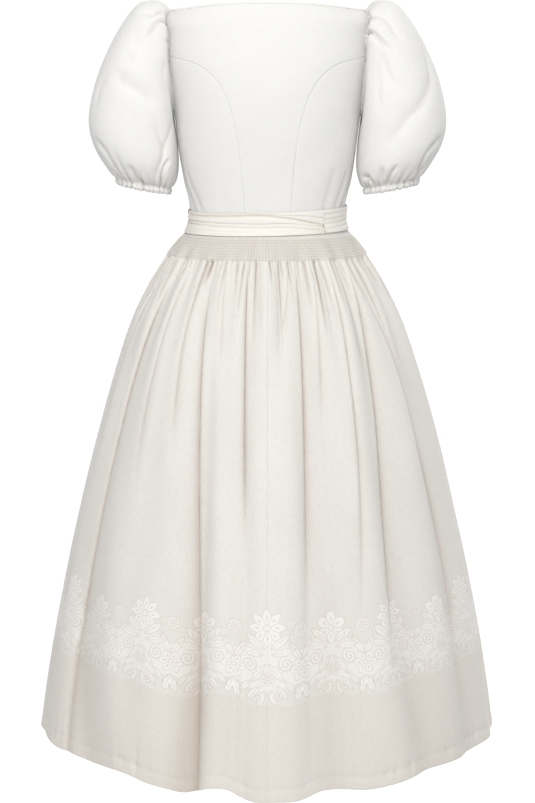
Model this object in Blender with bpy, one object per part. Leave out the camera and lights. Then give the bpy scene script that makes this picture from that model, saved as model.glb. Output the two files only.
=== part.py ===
# A european folk dress: a fitted bodice, two puff sleeves, a folded sash and a long skirt
# whose top is smocked. Every piece that is cut and sewn is one closed solid.
#
# Metres, +Z up. The front faces -Y and the wearer's left is +X. The origin is midway
# between the tops of the shoulders. Angles run round the body from the centre back,
# positive towards the wearer's left, so 90 is the left side and 180 the centre front.
import math

import bmesh
import bpy
import numpy as np

# Cloth and seams
BODICE_CLOTH = 0.0014
SKIRT_CLOTH = 0.0016
SASH_CLOTH = 0.0018
SEAM_GAP = 0.0003

# Heights
WAIST_SEAM = -0.326
UNDERARM = -0.165
SHOULDER_POINT = -0.012
BACK_NECK_RISE = 0.0125
FRONT_NECK_DROP = 0.095
BINDING_HEIGHT = 0.003
SMOCK_TOP = -0.3475
SMOCK_BOTTOM = -0.3827
HEM = -1.158

# Counts
SMOCK_ROWS = 7
SKIRT_GATHERS = 56
SLEEVE_GATHERS = 17
BUTTONS = 6

# Half width and depths of the bodice's inner face at each height.
# height, half_width, back_depth, front_depth
TORSO_ROWS = (
    (-0.326, 0.1190, 0.0860, 0.0975),
    (-0.300, 0.1212, 0.0880, 0.1030),
    (-0.266, 0.1290, 0.0920, 0.1160),
    (-0.2275, 0.1355, 0.0975, 0.1300),
    (-0.173, 0.1420, 0.1045, 0.1320),
    (-0.1126, 0.1500, 0.1080, 0.1180),
    (-0.075, 0.1565, 0.1060, 0.1030),
    (-0.040, 0.1590, 0.1010, 0.0860),
    (-0.012, 0.1590, 0.0965, 0.0760),
    (0.000, 0.1475, 0.0940, 0.0720),
    (0.014, 0.1360, 0.0900, 0.0690),
)

# Half width and depths of the skirt's inner face at each height, between its folds.
# height, half_width, back_depth, front_depth
SKIRT_ROWS = (
    (-0.3260, 0.1190, 0.0860, 0.0975),
    (-0.3455, 0.1262, 0.0935, 0.1035),
    (-0.3575, 0.1375, 0.1040, 0.1130),
    (-0.3890, 0.1600, 0.1250, 0.1330),
    (-0.4522, 0.1930, 0.1570, 0.1630),
    (-0.5475, 0.2280, 0.1910, 0.1960),
    (-0.6754, 0.2655, 0.2260, 0.2290),
    (-0.8044, 0.2955, 0.2540, 0.2540),
    (-0.9345, 0.3210, 0.2790, 0.2750),
    (-1.0657, 0.3435, 0.3000, 0.2920),
    (-1.1580, 0.3560, 0.3130, 0.3030),
)

# Angle from the centre back (or from the centre front) of the curved panel seams.
# height, angle
BACK_SEAM_ROWS = (
    (-0.3260, 17.0),
    (-0.2263, 18.1),
    (-0.1575, 22.0),
    (-0.1196, 27.5),
    (-0.0970, 34.0),
    (-0.0825, 43.0),
    (-0.0760, 53.0),
    (-0.0735, 62.0),
    (-0.0720, 70.0),
    (-0.0715, 78.0),
)
FRONT_SEAM_ROWS = (
    (-0.3260, 24.0),
    (-0.2500, 28.0),
    (-0.1750, 36.0),
    (-0.1350, 44.0),
    (-0.1150, 52.0),
    (-0.1080, 58.0),
    (-0.1050, 64.0),
)

# Outline of the armhole: half its angle towards the back and towards the front.
ARMHOLE_BACK = 12.0
ARMHOLE_FRONT = 26.0

# Room between a sleeve's first ring and the armhole edge, which has straight stretches.
ARMHOLE_EASE = 0.0008

# Rings of a sleeve beyond the armhole: where its outer and inner lines run, seen from
# the back, and half its depth there. Gather is the height of the small gathers.
# outer_x, outer_z, inner_x, inner_z, half_depth, centre_y, gather
SLEEVE_ROWS = (
    (0.1640, 0.0050, 0.1500, -0.1715, 0.0455, -0.0110, 0.0016),
    (0.1770, 0.0145, 0.1480, -0.1810, 0.0590, -0.0080, 0.0026),
    (0.2030, 0.0060, 0.1465, -0.1960, 0.0700, -0.0050, 0.0016),
    (0.2360, -0.0400, 0.1450, -0.2140, 0.0765, -0.0030, 0.0005),
    (0.2640, -0.1020, 0.1440, -0.2300, 0.0785, -0.0020, 0.0002),
    (0.2795, -0.1640, 0.1436, -0.2440, 0.0775, -0.0010, 0.0003),
    (0.2740, -0.2060, 0.1438, -0.2550, 0.0720, 0.0000, 0.0010),
    (0.2570, -0.2370, 0.1446, -0.2650, 0.0600, 0.0000, 0.0024),
    (0.2420, -0.2550, 0.1480, -0.2715, 0.0470, 0.0000, 0.0014),
    (0.2405, -0.2600, 0.1485, -0.2755, 0.0478, 0.0000, 0.0016),
    (0.2360, -0.2645, 0.1505, -0.2795, 0.0455, 0.0000, 0.0012),
)

# Soft creases of a sleeve: from one angle round the sleeve and ring to another.
# start_angle, start_ring, end_angle, end_ring, depth, half_width
SLEEVE_CREASES = (
    (62.0, 2.0, 30.0, 5.0, 0.0060, 0.0140),
    (95.0, 2.5, 70.0, 6.5, 0.0050, 0.0140),
    (20.0, 7.0, 60.0, 9.0, 0.0055, 0.0120),
    (118.0, 6.0, 100.0, 9.5, 0.0045, 0.0120),
    (-60.0, 2.0, -35.0, 5.0, 0.0055, 0.0140),
    (-100.0, 3.0, -70.0, 7.0, 0.0050, 0.0140),
    (-30.0, 7.0, -55.0, 9.5, 0.0050, 0.0120),
)

# Valleys between the skirt's large folds. Each valley has an angle and a depth at the
# top, a third of the way down and at the hem, one steep side and one gentle side.
# A negative depth is a fold that stands out.
# angle_top, angle_mid, angle_hem, depth_top, depth_mid, depth_hem, left_width, right_width
FOLD_ROWS = (
    (-2.0, -2.0, -2.0, 0.000, -0.003, -0.018, 8.0, 8.0),
    (9.8, 7.2, 6.5, 0.006, 0.006, 0.001, 3.2, 3.2),
    (25.0, 14.0, 14.0, 0.003, 0.011, 0.020, 6.0, 8.0),
    (28.0, 20.0, 18.5, 0.003, 0.005, 0.003, 3.0, 3.0),
    (38.0, 41.0, 35.0, 0.003, 0.004, 0.003, 5.0, 6.0),
    (55.0, 65.0, 51.0, 0.004, 0.010, 0.014, 7.0, 11.0),
    (82.0, 84.0, 80.0, 0.003, 0.005, 0.005, 5.0, 6.0),
    (-12.0, -12.0, -10.5, 0.003, 0.006, 0.004, 3.2, 3.2),
    (-20.0, -18.0, -16.5, 0.003, 0.008, 0.013, 5.0, 9.0),
    (-47.0, -41.0, -45.0, 0.005, 0.010, 0.012, 5.0, 10.0),
    (-69.0, -65.0, -63.0, 0.005, 0.010, 0.012, 5.0, 9.0),
    (-88.0, -87.0, -84.0, 0.003, 0.004, 0.004, 5.0, 6.0),
    (103.0, 105.0, 103.0, 0.004, 0.009, 0.013, 8.0, 6.0),
    (122.0, 124.0, 125.0, 0.004, 0.011, 0.016, 9.0, 6.0),
    (141.0, 143.0, 146.0, 0.005, 0.006, 0.009, 6.0, 6.0),
    (160.0, 163.0, 166.0, 0.004, 0.011, 0.016, 9.0, 6.0),
    (178.0, 181.0, 184.0, 0.003, 0.005, 0.007, 6.0, 6.0),
    (-164.0, -160.0, -158.0, 0.005, 0.011, 0.015, 6.0, 9.0),
    (-143.0, -140.0, -138.0, 0.004, 0.008, 0.012, 6.0, 8.0),
    (-121.0, -122.0, -119.0, 0.005, 0.011, 0.014, 5.0, 9.0),
    (-103.0, -104.0, -102.0, 0.003, 0.006, 0.007, 6.0, 6.0),
)

# Heights of the skirt's rings below the smocking.
SKIRT_RINGS = (-0.402, -0.442, -0.515, -0.630, -0.780, -0.960, HEM)

# The sash, and how much higher it sits on the wearer's right.
SASH_TOP = -0.3095
SASH_BOTTOM = -0.3470
SASH_RISE = 0.007
SASH_SEAM_ANGLE = -45.0
SASH_ROOM = 0.0010

# The front lap: angles from the centre front where it ends, and the room it needs.
LAP_ANGLE = 4.5
LAP_ROOM = 0.0022

BUTTON_RADIUS = 0.0055
BUTTON_HEIGHT = 0.0030
BUTTON_LOW = -0.290
BUTTON_ROOM = 0.0006

LINEN = (0.905, 0.900, 0.885, 1.0)
SILK = (0.905, 0.885, 0.845, 1.0)
TWILL = (0.850, 0.835, 0.800, 1.0)

for old in list(bpy.data.objects):
    bpy.data.objects.remove(old, do_unlink=True)


def material(name, colour, roughness):
    made = bpy.data.materials.new(name)
    made.use_nodes = True
    shader = made.node_tree.nodes["Principled BSDF"]
    shader.inputs["Base Color"].default_value = colour
    shader.inputs["Roughness"].default_value = roughness
    shader.inputs["Metallic"].default_value = 0.0
    return made


bodice_linen = material("bodice_linen", LINEN, 0.85)
sash_silk = material("sash_silk", SILK, 0.45)
skirt_twill = material("skirt_twill", TWILL, 0.6)


def curve_through(rows):
    """A smooth function of the first column that passes through every row."""
    table = np.array(sorted(rows), dtype=float)
    keys = table[:, 0]
    values = table[:, 1:]
    slopes = np.gradient(values, keys, axis=0)

    def value(key):
        key = np.clip(np.asarray(key, dtype=float), keys[0], keys[-1])
        low = np.clip(np.searchsorted(keys, key) - 1, 0, len(keys) - 2)
        span = (keys[low + 1] - keys[low])[..., None]
        step = (key - keys[low])[..., None] / span
        rest = 1.0 - step
        start = values[low] * (1.0 + 2.0 * step) * rest ** 2
        end = values[low + 1] * (3.0 - 2.0 * step) * step ** 2
        bend = slopes[low] * step * rest ** 2 - slopes[low + 1] * rest * step ** 2
        return start + end + bend * span

    return value


torso_size = curve_through(TORSO_ROWS)
skirt_size = curve_through(SKIRT_ROWS)
back_seam_angle = curve_through(BACK_SEAM_ROWS)
front_seam_angle = curve_through(FRONT_SEAM_ROWS)


def body_point(size, angle, height):
    """A point on a rounded body whose half width and depths change with height."""
    turn = np.radians(angle)
    sizes = size(height)
    across = np.sin(turn)
    along = np.cos(turn)
    depth = np.where(along > 0.0, sizes[..., 1], sizes[..., 2])
    fullness = 1.0 + 0.10 * across ** 2
    return np.stack([sizes[..., 0] * across, depth * along * fullness, height], axis=-1)


def torso_point(angle, height):
    angle, height = np.broadcast_arrays(np.asarray(angle, float), np.asarray(height, float))
    return body_point(torso_size, angle, height)


def fall(height):
    """0 at the bottom of the smocking, 1 at the hem."""
    return np.clip((SMOCK_BOTTOM - height) / (SMOCK_BOTTOM - HEM), 0.0, 1.0)


def through_three(top, mid, hem, down):
    """The smooth curve with these values at the top, a third down and at the hem."""
    third = 0.33
    first = (down - third) * (down - 1.0) / third
    second = down * (1.0 - down) / (third * (1.0 - third))
    last = down * (down - third) / (1.0 - third)
    return top * first + mid * second + hem * last


def fold_depth(angle, height):
    """How far the skirt stands out at this place, from all its folds and gathers."""
    down = fall(height)
    free = np.clip((SMOCK_TOP - height) / (SMOCK_TOP - SMOCK_BOTTOM), 0.0, 1.0)
    out = np.zeros(np.broadcast(angle, height).shape)
    for row in FOLD_ROWS:
        place = through_three(row[0], row[1], row[2], down)
        depth = through_three(row[3], row[4], row[5], down)
        away = (angle - place + 180.0) % 360.0 - 180.0
        width = np.where(away > 0.0, row[6], row[7])
        out = out - free * depth * np.exp(-((away / width) ** 2))
    turn = np.radians(angle)
    uneven = 1.0 + 0.35 * np.sin(7.0 * turn + 1.0) + 0.25 * np.sin(13.0 * turn)
    gathers = np.cos(SKIRT_GATHERS * turn) * uneven
    out = out + 0.0022 * free ** 2 * np.exp(-down / 0.06) * gathers
    soft = np.cos(0.5 * SKIRT_GATHERS * turn + 0.8 * np.sin(3.0 * turn))
    return out + 0.0024 * free * np.exp(-(((down - 0.06) / 0.12) ** 2)) * soft


def skirt_point(angle, height):
    angle, height = np.broadcast_arrays(np.asarray(angle, float), np.asarray(height, float))
    point = body_point(skirt_size, angle, height)
    sizes = skirt_size(height)
    turn = np.radians(angle)
    depth = np.where(np.cos(turn) > 0.0, sizes[..., 1], sizes[..., 2])
    out_x = np.sin(turn) * depth
    out_y = np.cos(turn) * sizes[..., 0]
    length = np.hypot(out_x, out_y)
    lift = fold_depth(angle, height) / length
    point[..., 0] += out_x * lift
    point[..., 1] += out_y * lift
    return point


def outward(surface, angle, height):
    """Unit normals of a surface given by angle and height, away from the body.

    They are level at the waist seam, so that the cut edges there face each other.
    """
    small_angle = 0.05
    small_height = 0.0002
    along = surface(angle + small_angle, height) - surface(angle - small_angle, height)
    up = surface(angle, height + small_height) - surface(angle, height - small_height)
    normal = np.cross(up, along)
    normal[..., 2] *= np.clip(np.abs(height - WAIST_SEAM) / 0.004, 0.0, 1.0)
    return normal / np.linalg.norm(normal, axis=-1, keepdims=True)


def build_mesh(name, points, triangles, slot):
    """One closed body from points and triangles, its faces turned outward."""
    mesh = bpy.data.meshes.new(name)
    mesh.from_pydata([tuple(p) for p in points], [], triangles)
    made = bmesh.new()
    made.from_mesh(mesh)
    bmesh.ops.recalc_face_normals(made, faces=made.faces)
    if made.calc_volume(signed=True) < 0.0:
        bmesh.ops.reverse_faces(made, faces=made.faces)
    for face in made.faces:
        face.smooth = True
    made.to_mesh(mesh)
    made.free()
    mesh.materials.append(slot)
    thing = bpy.data.objects.new(name, mesh)
    bpy.context.scene.collection.objects.link(thing)
    return thing


def wall(name, outer, inner, kept, slot, closed=False, raised=()):
    """A cloth wall between two grids of points. The inner grid has the kept rows only.

    The raised rows of the outer grid stand out between the rows beside them.
    """
    rows, columns = outer.shape[:2]
    points = list(outer.reshape(-1, 3)) + list(inner.reshape(-1, 3))
    first_inner = rows * columns
    triangles = []

    def out_at(row, column):
        return row * columns + column % columns

    def in_at(row, column):
        return first_inner + row * columns + column % columns

    last = columns if closed else columns - 1
    for column in range(last):
        for row in range(rows - 1):
            a = out_at(row, column)
            b = out_at(row, column + 1)
            c = out_at(row + 1, column + 1)
            d = out_at(row + 1, column)
            triangles += [(a, b, c), (a, c, d)]
        for row in range(len(kept) - 1):
            a = in_at(row, column)
            b = in_at(row, column + 1)
            c = in_at(row + 1, column + 1)
            d = in_at(row + 1, column)
            triangles += [(a, c, b), (a, d, c)]
        for row_out, row_in in ((0, 0), (rows - 1, len(kept) - 1)):
            a = out_at(row_out, column)
            b = out_at(row_out, column + 1)
            c = in_at(row_in, column + 1)
            d = in_at(row_in, column)
            triangles += [(a, c, b), (a, d, c)]
    if not closed:
        for column in (0, columns - 1):
            for row in range(len(kept) - 1):
                near = in_at(row, column)
                far = in_at(row + 1, column)
                steps = [step for step in range(kept[row], kept[row + 1] + 1) if step not in raised]
                for step, after in zip(steps[:-1], steps[1:]):
                    triangles.append((near, out_at(step, column), out_at(after, column)))
                    if after - step == 2:
                        ridge = out_at(step + 1, column)
                        triangles.append((out_at(step, column), ridge, out_at(after, column)))
                triangles.append((near, out_at(kept[row + 1], column), far))
    return build_mesh(name, points, triangles, slot)


def panel(name, angles, heights, lift=None):
    """A bodice panel from a grid of angles and heights on the torso."""
    face = torso_point(angles, heights)
    normal = outward(torso_point, angles, heights)
    raised = 0.0 if lift is None else lift(angles)[..., None]
    inner = face + normal * raised
    outer = inner + normal * BODICE_CLOTH
    return wall(name, outer, inner, list(range(len(face))), bodice_linen)


# Bodice seams. They are moved apart by half the seam gap on each side, measured along
# the cloth, whose half girth is taken as one size here.
GIRTH_PER_DEGREE = 0.0025
SEAM_STEPS = np.array([0.0, 0.13, 0.27, 0.41, 0.55, 0.67, 0.77, 0.86, 0.93, 0.97, 1.0])


def moved_aside(line, distance):
    """A line of angles and heights moved sideways, to the left of its direction."""
    flat = np.array([line[:, 0] * GIRTH_PER_DEGREE, line[:, 1]]).T
    way = np.gradient(flat, axis=0)
    way /= np.linalg.norm(way, axis=1, keepdims=True)
    flat = flat + distance * np.stack([-way[:, 1], way[:, 0]], axis=1)
    return np.array([flat[:, 0] / GIRTH_PER_DEGREE, flat[:, 1]]).T


def armhole_line(turns):
    """The armhole edge: 0 is its top, 90 the back, 180 the underarm, 270 the front."""
    turn = np.radians(np.asarray(turns, dtype=float))
    middle = 0.5 * (SHOULDER_POINT + UNDERARM)
    half = 0.5 * (SHOULDER_POINT - UNDERARM)
    side = np.sin(turn)
    reach = np.where(side > 0.0, ARMHOLE_BACK, ARMHOLE_FRONT) * np.abs(side) ** 0.8
    angle = 90.0 - np.sign(side) * reach
    return np.stack([angle, middle + half * np.cos(turn)], axis=-1)


def armhole_turn_at(height, side):
    """Where the armhole edge has this height, on its back (1) or front (-1) side."""
    middle = 0.5 * (SHOULDER_POINT + UNDERARM)
    half = 0.5 * (SHOULDER_POINT - UNDERARM)
    turn = math.degrees(math.acos((height - middle) / half))
    return turn if side > 0 else 360.0 - turn


def curved_seam(rows, mirror_front):
    """The curved panel seam from the waist to the armhole, angles from the centre back."""
    table = np.array(rows)
    base, top = table[0, 0], table[-1, 0]
    # Rows are taken by length along the seam, so that its flat upper end keeps its curve.
    dense = np.linspace(base, top, 400)
    angle = curve_through(rows)(dense)[:, 0]
    if mirror_front:
        angle = 180.0 - angle
    flat = np.stack([angle * GIRTH_PER_DEGREE, dense], axis=1)
    length = np.concatenate([[0.0], np.cumsum(np.linalg.norm(np.diff(flat, axis=0), axis=1))])
    at = SEAM_STEPS * length[-1]
    return np.stack([np.interp(at, length, angle), np.interp(at, length, dense)], axis=1)


back_seam = curved_seam(BACK_SEAM_ROWS, False)
front_seam = curved_seam(FRONT_SEAM_ROWS, True)
back_meet = armhole_turn_at(back_seam[-1, 1], 1)
front_meet = armhole_turn_at(front_seam[-1, 1], -1)
back_seam[-1] = armhole_line([back_meet])[0]
front_seam[-1] = armhole_line([front_meet])[0]


def neck_height(angle):
    """Height of the neck edge: high and nearly straight at the back, scooped in front."""
    turn = np.radians(angle)
    across = np.abs(np.sin(turn))
    back = BACK_NECK_RISE * (1.0 - across ** 2.6)
    front = -FRONT_NECK_DROP * (1.0 - across ** 2.0)
    return np.where(np.cos(turn) > 0.0, back, front)


# Back centre panel: its edge follows the curved seam, the armhole and the shoulder seam.
ARM_STEPS = np.array([0.22, 0.45, 0.68, 0.86, 1.0])
arm_back = armhole_line(back_meet * (1.0 - ARM_STEPS))
arm_back[-1] = (90.0, SHOULDER_POINT)
edge = moved_aside(np.concatenate([back_seam, arm_back]), 0.5 * SEAM_GAP)
edge[-1, 0] = 90.0 - 0.5 * SEAM_GAP / GIRTH_PER_DEGREE
shoulder_neck = (edge[-1, 0], float(neck_height(edge[-1, 0])) - BINDING_HEIGHT)
edge = np.concatenate([edge, [shoulder_neck]])
edge[0, 1] = WAIST_SEAM + 0.5 * SEAM_GAP
BACK_COLUMNS = 12
spread = np.linspace(-1.0, 1.0, BACK_COLUMNS + 1)
TURN_ROW = 6


def middle_line(side_heights, top):
    """Heights of the rows at the middle: as at the side up to one row, then even."""
    rest = np.linspace(side_heights[TURN_ROW], top, len(side_heights) - TURN_ROW)
    return np.concatenate([side_heights[:TURN_ROW], rest])


centre_top = BACK_NECK_RISE - BINDING_HEIGHT - 0.5 * SEAM_GAP
even_heights = middle_line(edge[:, 1], centre_top)
pull = np.abs(spread) ** 2.0
back_angles = edge[:, 0][:, None] * spread[None, :]
back_heights = edge[:, 1][:, None] * pull[None, :] + even_heights[:, None] * (1.0 - pull[None, :])
back_heights[-1] = neck_height(back_angles[-1]) - BINDING_HEIGHT - 0.5 * SEAM_GAP
panel("back_centre", back_angles, back_heights)


def patch(left, right, bottom, top, shares):
    """A grid of angles and heights between four edge lines with shared corners."""
    rise = np.linspace(0.0, 1.0, len(left))[:, None, None]
    run = np.array(shares)[None, :, None]
    sides = left[:, None, :] * (1.0 - run) + right[:, None, :] * run
    ends = bottom[None, :, :] * (1.0 - rise) + top[None, :, :] * rise
    corners = bottom[0] * (1.0 - rise) * (1.0 - run) + bottom[-1] * (1.0 - rise) * run
    corners = corners + top[0] * rise * (1.0 - run) + top[-1] * rise * run
    return sides + ends - corners


def straight(start, end, shares):
    step = np.array(shares)[:, None]
    return np.array(start) * (1.0 - step) + np.array(end) * step


def side_panel(name, seam, meet, side, seam_side, mirror):
    """A side panel between a curved seam, the side seam and the lower armhole edge."""
    shares = np.linspace(0.0, 1.0, 8)
    half = 0.5 * SEAM_GAP
    inner_edge = moved_aside(seam, seam_side * half)
    inner_edge[0, 1] = WAIST_SEAM + half
    side_angle = 90.0 - side * half / GIRTH_PER_DEGREE
    low = WAIST_SEAM + half
    high = UNDERARM - half
    side_line = np.stack([np.full(len(seam), side_angle), low + SEAM_STEPS * (high - low)], axis=1)
    turns = meet + (180.0 - meet) * shares
    top = moved_aside(armhole_line(turns), -side * half)
    top[0] = inner_edge[-1]
    top[-1] = side_line[-1]
    bottom = straight(inner_edge[0], side_line[0], shares)
    grid = patch(inner_edge, side_line, bottom, top, shares)
    panel(name, mirror * grid[..., 0], grid[..., 1])


for word, mirror in (("left", 1.0), ("right", -1.0)):
    side_panel("back_side_" + word, back_seam, back_meet, 1.0, -1.0, mirror)
    side_panel("front_side_" + word, front_seam, front_meet, -1.0, 1.0, mirror)


def ease(share):
    """0 to 1 with soft ends."""
    share = np.clip(share, 0.0, 1.0)
    return share * share * (3.0 - 2.0 * share)


def lap_lift(angle):
    """Room for the cloth under the front lap, on the wearer's right front."""
    return LAP_ROOM * (1.0 - ease((angle + 173.0) / 9.0))


# Centre fronts. Their outer side follows the front seam and the armhole, and the other
# side the lap and then the neck edge, so that both narrow towards the shoulder seam.
arm_front = armhole_line(360.0 - (360.0 - front_meet) * (1.0 - ARM_STEPS))
arm_front[-1] = (90.0, SHOULDER_POINT)
front_edge = moved_aside(np.concatenate([front_seam, arm_front]), -0.5 * SEAM_GAP)
shoulder_angle = 90.0 + 0.5 * SEAM_GAP / GIRTH_PER_DEGREE
front_edge[-1, 0] = shoulder_angle
front_edge[0, 1] = WAIST_SEAM + 0.5 * SEAM_GAP
LAP_ROWS = BUTTONS + 2
FRONT_SHARES = (0.0, 0.16, 0.33, 0.50, 0.67, 0.81, 0.92, 1.0)
lap_edge = 180.0 + LAP_ANGLE
neck_share = (np.arange(1, len(front_edge) - LAP_ROWS + 1) / (len(front_edge) - LAP_ROWS)) ** 1.15
neck_angles = np.concatenate([[lap_edge], lap_edge + (shoulder_angle - lap_edge) * neck_share])
neck_line = np.stack([neck_angles, neck_height(neck_angles) - BINDING_HEIGHT - 0.5 * SEAM_GAP], axis=1)
button_heights = np.linspace(BUTTON_LOW, -FRONT_NECK_DROP - 0.0135, BUTTONS)
lap_heights = np.concatenate([[front_edge[0, 1]], button_heights, [neck_line[0, 1]]])
lap_line = np.stack([np.full(LAP_ROWS, lap_edge), lap_heights], axis=1)
middle_edge = np.concatenate([lap_line, neck_line[1:]])
front_base = straight(front_edge[0], middle_edge[0], FRONT_SHARES)
shoulder_line = straight(front_edge[-1], middle_edge[-1], FRONT_SHARES)
front_grid = patch(front_edge, middle_edge, front_base, shoulder_line, FRONT_SHARES)
front_angles = front_grid[..., 0]
front_heights = front_grid[..., 1]
panel("front_left", front_angles, front_heights)
panel("front_right", -front_angles, front_heights, lap_lift)

# Neck binding: the top few millimetres of the neck edge, from lap to lap round the back.
left_run = neck_angles[:-1]
around = np.concatenate([left_run, back_angles[-1][::-1], -left_run[::-1]])
top_edge = neck_height(around)
low_edge = top_edge - BINDING_HEIGHT + 0.5 * SEAM_GAP
binding_angles = np.stack([around, around])
binding_heights = np.stack([low_edge, top_edge])
face = torso_point(binding_angles, binding_heights)
normal = outward(torso_point, binding_angles, binding_heights)
raised = lap_lift(binding_angles)[..., None]
wall("neck_binding", face + normal * (raised + BODICE_CLOTH), face + normal * raised, [0, 1], bodice_linen)


# Sleeves: two rings in the armhole, then the rings of the table.
SLEEVE_COLUMNS = 2 * SLEEVE_GATHERS
sleeve_turns = np.arange(SLEEVE_COLUMNS) * 360.0 / SLEEVE_COLUMNS


def armhole_ring(turns, beyond):
    """The armhole outline just inside its edge, moved out from the body."""
    step = 1.0
    line = armhole_line(turns)
    way = armhole_line(turns + step) - armhole_line(turns - step)
    way = way * np.array([GIRTH_PER_DEGREE, 1.0])
    way /= np.linalg.norm(way, axis=1, keepdims=True)
    inset = SEAM_GAP + ARMHOLE_EASE + 0.5 * BODICE_CLOTH
    angle = line[:, 0] - inset * way[:, 1] / GIRTH_PER_DEGREE
    height = line[:, 1] + inset * way[:, 0]
    return torso_point(angle, height) + outward(torso_point, angle, height) * beyond


def sleeve_rings(turns):
    """The smooth sleeve without its gathers: a grid of rings by turns, left side."""
    turn = np.radians(turns)
    rings = [armhole_ring(turns, -0.0006), armhole_ring(turns, 0.0035)]
    for outer_x, outer_z, inner_x, inner_z, half_depth, centre_y, gather in SLEEVE_ROWS:
        share = 0.5 + 0.5 * np.cos(turn)
        x = inner_x + (outer_x - inner_x) * share
        z = inner_z + (outer_z - inner_z) * share
        y = half_depth * np.sin(turn) + centre_y * np.sin(turn) ** 2
        rings.append(np.stack([x, y, z], axis=1))
    return np.array(rings)


def ring_normals(grid):
    """Unit normals of a grid that is closed round its columns, away from its middle."""
    around = np.roll(grid, -1, axis=1) - np.roll(grid, 1, axis=1)
    along = np.gradient(grid, axis=0)
    normal = np.cross(around, along)
    normal /= np.linalg.norm(normal, axis=-1, keepdims=True)
    middle = grid.mean(axis=1, keepdims=True)
    if np.sum(normal * (grid - middle)) < 0.0:
        normal = -normal
    return normal


def crease_depth(grid, start_turn, start_ring, end_turn, end_ring, depth, half_width):
    """A soft trough along the line between two places on the sleeve."""
    trough = np.full(grid.shape[:2], 9.0)
    for step in np.linspace(0.0, 1.0, 13):
        turn = (start_turn + (end_turn - start_turn) * step) % 360.0
        ring = start_ring + (end_ring - start_ring) * step
        column = turn / 360.0 * grid.shape[1]
        low_ring = int(ring)
        low_column = int(column)
        ring_part = ring - low_ring
        column_part = column - low_column
        next_column = (low_column + 1) % grid.shape[1]
        near = grid[low_ring, low_column] * (1.0 - column_part) + grid[low_ring, next_column] * column_part
        far = grid[low_ring + 1, low_column] * (1.0 - column_part)
        far = far + grid[low_ring + 1, next_column] * column_part
        place = near * (1.0 - ring_part) + far * ring_part
        trough = np.minimum(trough, np.linalg.norm(grid - place, axis=-1))
    return depth * np.exp(-((trough / half_width) ** 2))


sleeve_face = sleeve_rings(sleeve_turns)
sleeve_normal = ring_normals(sleeve_face)
turn = np.radians(sleeve_turns)
gather_height = np.array([0.0, 0.0008] + [row[6] for row in SLEEVE_ROWS])
uneven = 1.0 + 0.30 * np.sin(3.0 * turn + 0.6) + 0.25 * np.sin(5.0 * turn)
away = gather_height[:, None] * np.cos(SLEEVE_GATHERS * turn)[None, :] * uneven[None, :]
for crease in SLEEVE_CREASES:
    away = away - crease_depth(sleeve_face, *crease)
sleeve_middle = sleeve_face + sleeve_normal * away[..., None]
sleeve_outer = sleeve_middle + sleeve_normal * 0.5 * BODICE_CLOTH
sleeve_inner = sleeve_middle - sleeve_normal * 0.5 * BODICE_CLOTH
every_ring = list(range(len(sleeve_outer)))
for word, mirror in (("left", 1.0), ("right", -1.0)):
    side = np.array([mirror, 1.0, 1.0])
    wall("sleeve_" + word, sleeve_outer * side, sleeve_inner * side, every_ring, bodice_linen, True)


# Skirt panels. The smocked rows are raised in the outer face over a plain inside.
row_height = (SMOCK_TOP - SMOCK_BOTTOM) / SMOCK_ROWS
skirt_heights = [WAIST_SEAM - 0.5 * SEAM_GAP, SMOCK_TOP + 0.0075]
rib = [0.0, 0.0]
kept = [0, 1]
for number in range(SMOCK_ROWS):
    if number % 3 == 0:
        kept.append(len(skirt_heights))
    skirt_heights += [SMOCK_TOP - number * row_height, SMOCK_TOP - (number + 0.5) * row_height]
    rib += [0.0, 0.0009]
kept += list(range(len(skirt_heights), len(skirt_heights) + 1 + len(SKIRT_RINGS)))
skirt_heights += [SMOCK_BOTTOM] + list(SKIRT_RINGS)
rib += [0.0] * (1 + len(SKIRT_RINGS))
skirt_heights = np.array(skirt_heights)
rib = np.array(rib)


def skirt_panel(name, start, end):
    columns = int(round((end - start) * 2 * SKIRT_GATHERS / 360.0))
    angles = np.linspace(start, end, columns + 1)[None, :] + np.zeros((len(skirt_heights), 1))
    inset = np.degrees(0.5 * SEAM_GAP / skirt_size(skirt_heights)[:, 0])
    angles[:, 0] += inset
    angles[:, -1] -= inset
    heights = skirt_heights[:, None] + np.zeros_like(angles)
    inner = skirt_point(angles, heights)
    normal = outward(skirt_point, angles, heights)
    puff = 0.75 + 0.25 * np.cos(np.radians(SKIRT_GATHERS * angles))
    outer = inner + normal * (SKIRT_CLOTH + rib[:, None] * puff)[..., None]
    raised = [row for row in range(len(rib)) if rib[row] > 0.0]
    return wall(name, outer, inner[kept], kept, skirt_twill, raised=raised)


skirt_panel("skirt_back_left", 0.0, 90.0)
skirt_panel("skirt_back_right", -90.0, 0.0)
skirt_panel("skirt_front", 90.0, 270.0)


# Sash: a band over the waist seam, with folds along it.
# share of the height from the top, fold height of the folded part
SASH_FOLDS = (
    (0.00, 0.0000),
    (0.16, 0.0009),
    (0.32, 0.0002),
    (0.50, 0.0010),
    (0.68, 0.0001),
    (0.84, 0.0008),
    (1.00, 0.0000),
)
SASH_PLEATS = 4


def waist_point(angle, height):
    """The inner face of the bodice above the waist seam and of the skirt below it."""
    above = np.asarray(height)[..., None] > WAIST_SEAM
    return np.where(above, torso_point(angle, height), body_point(skirt_size, angle, height))


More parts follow.
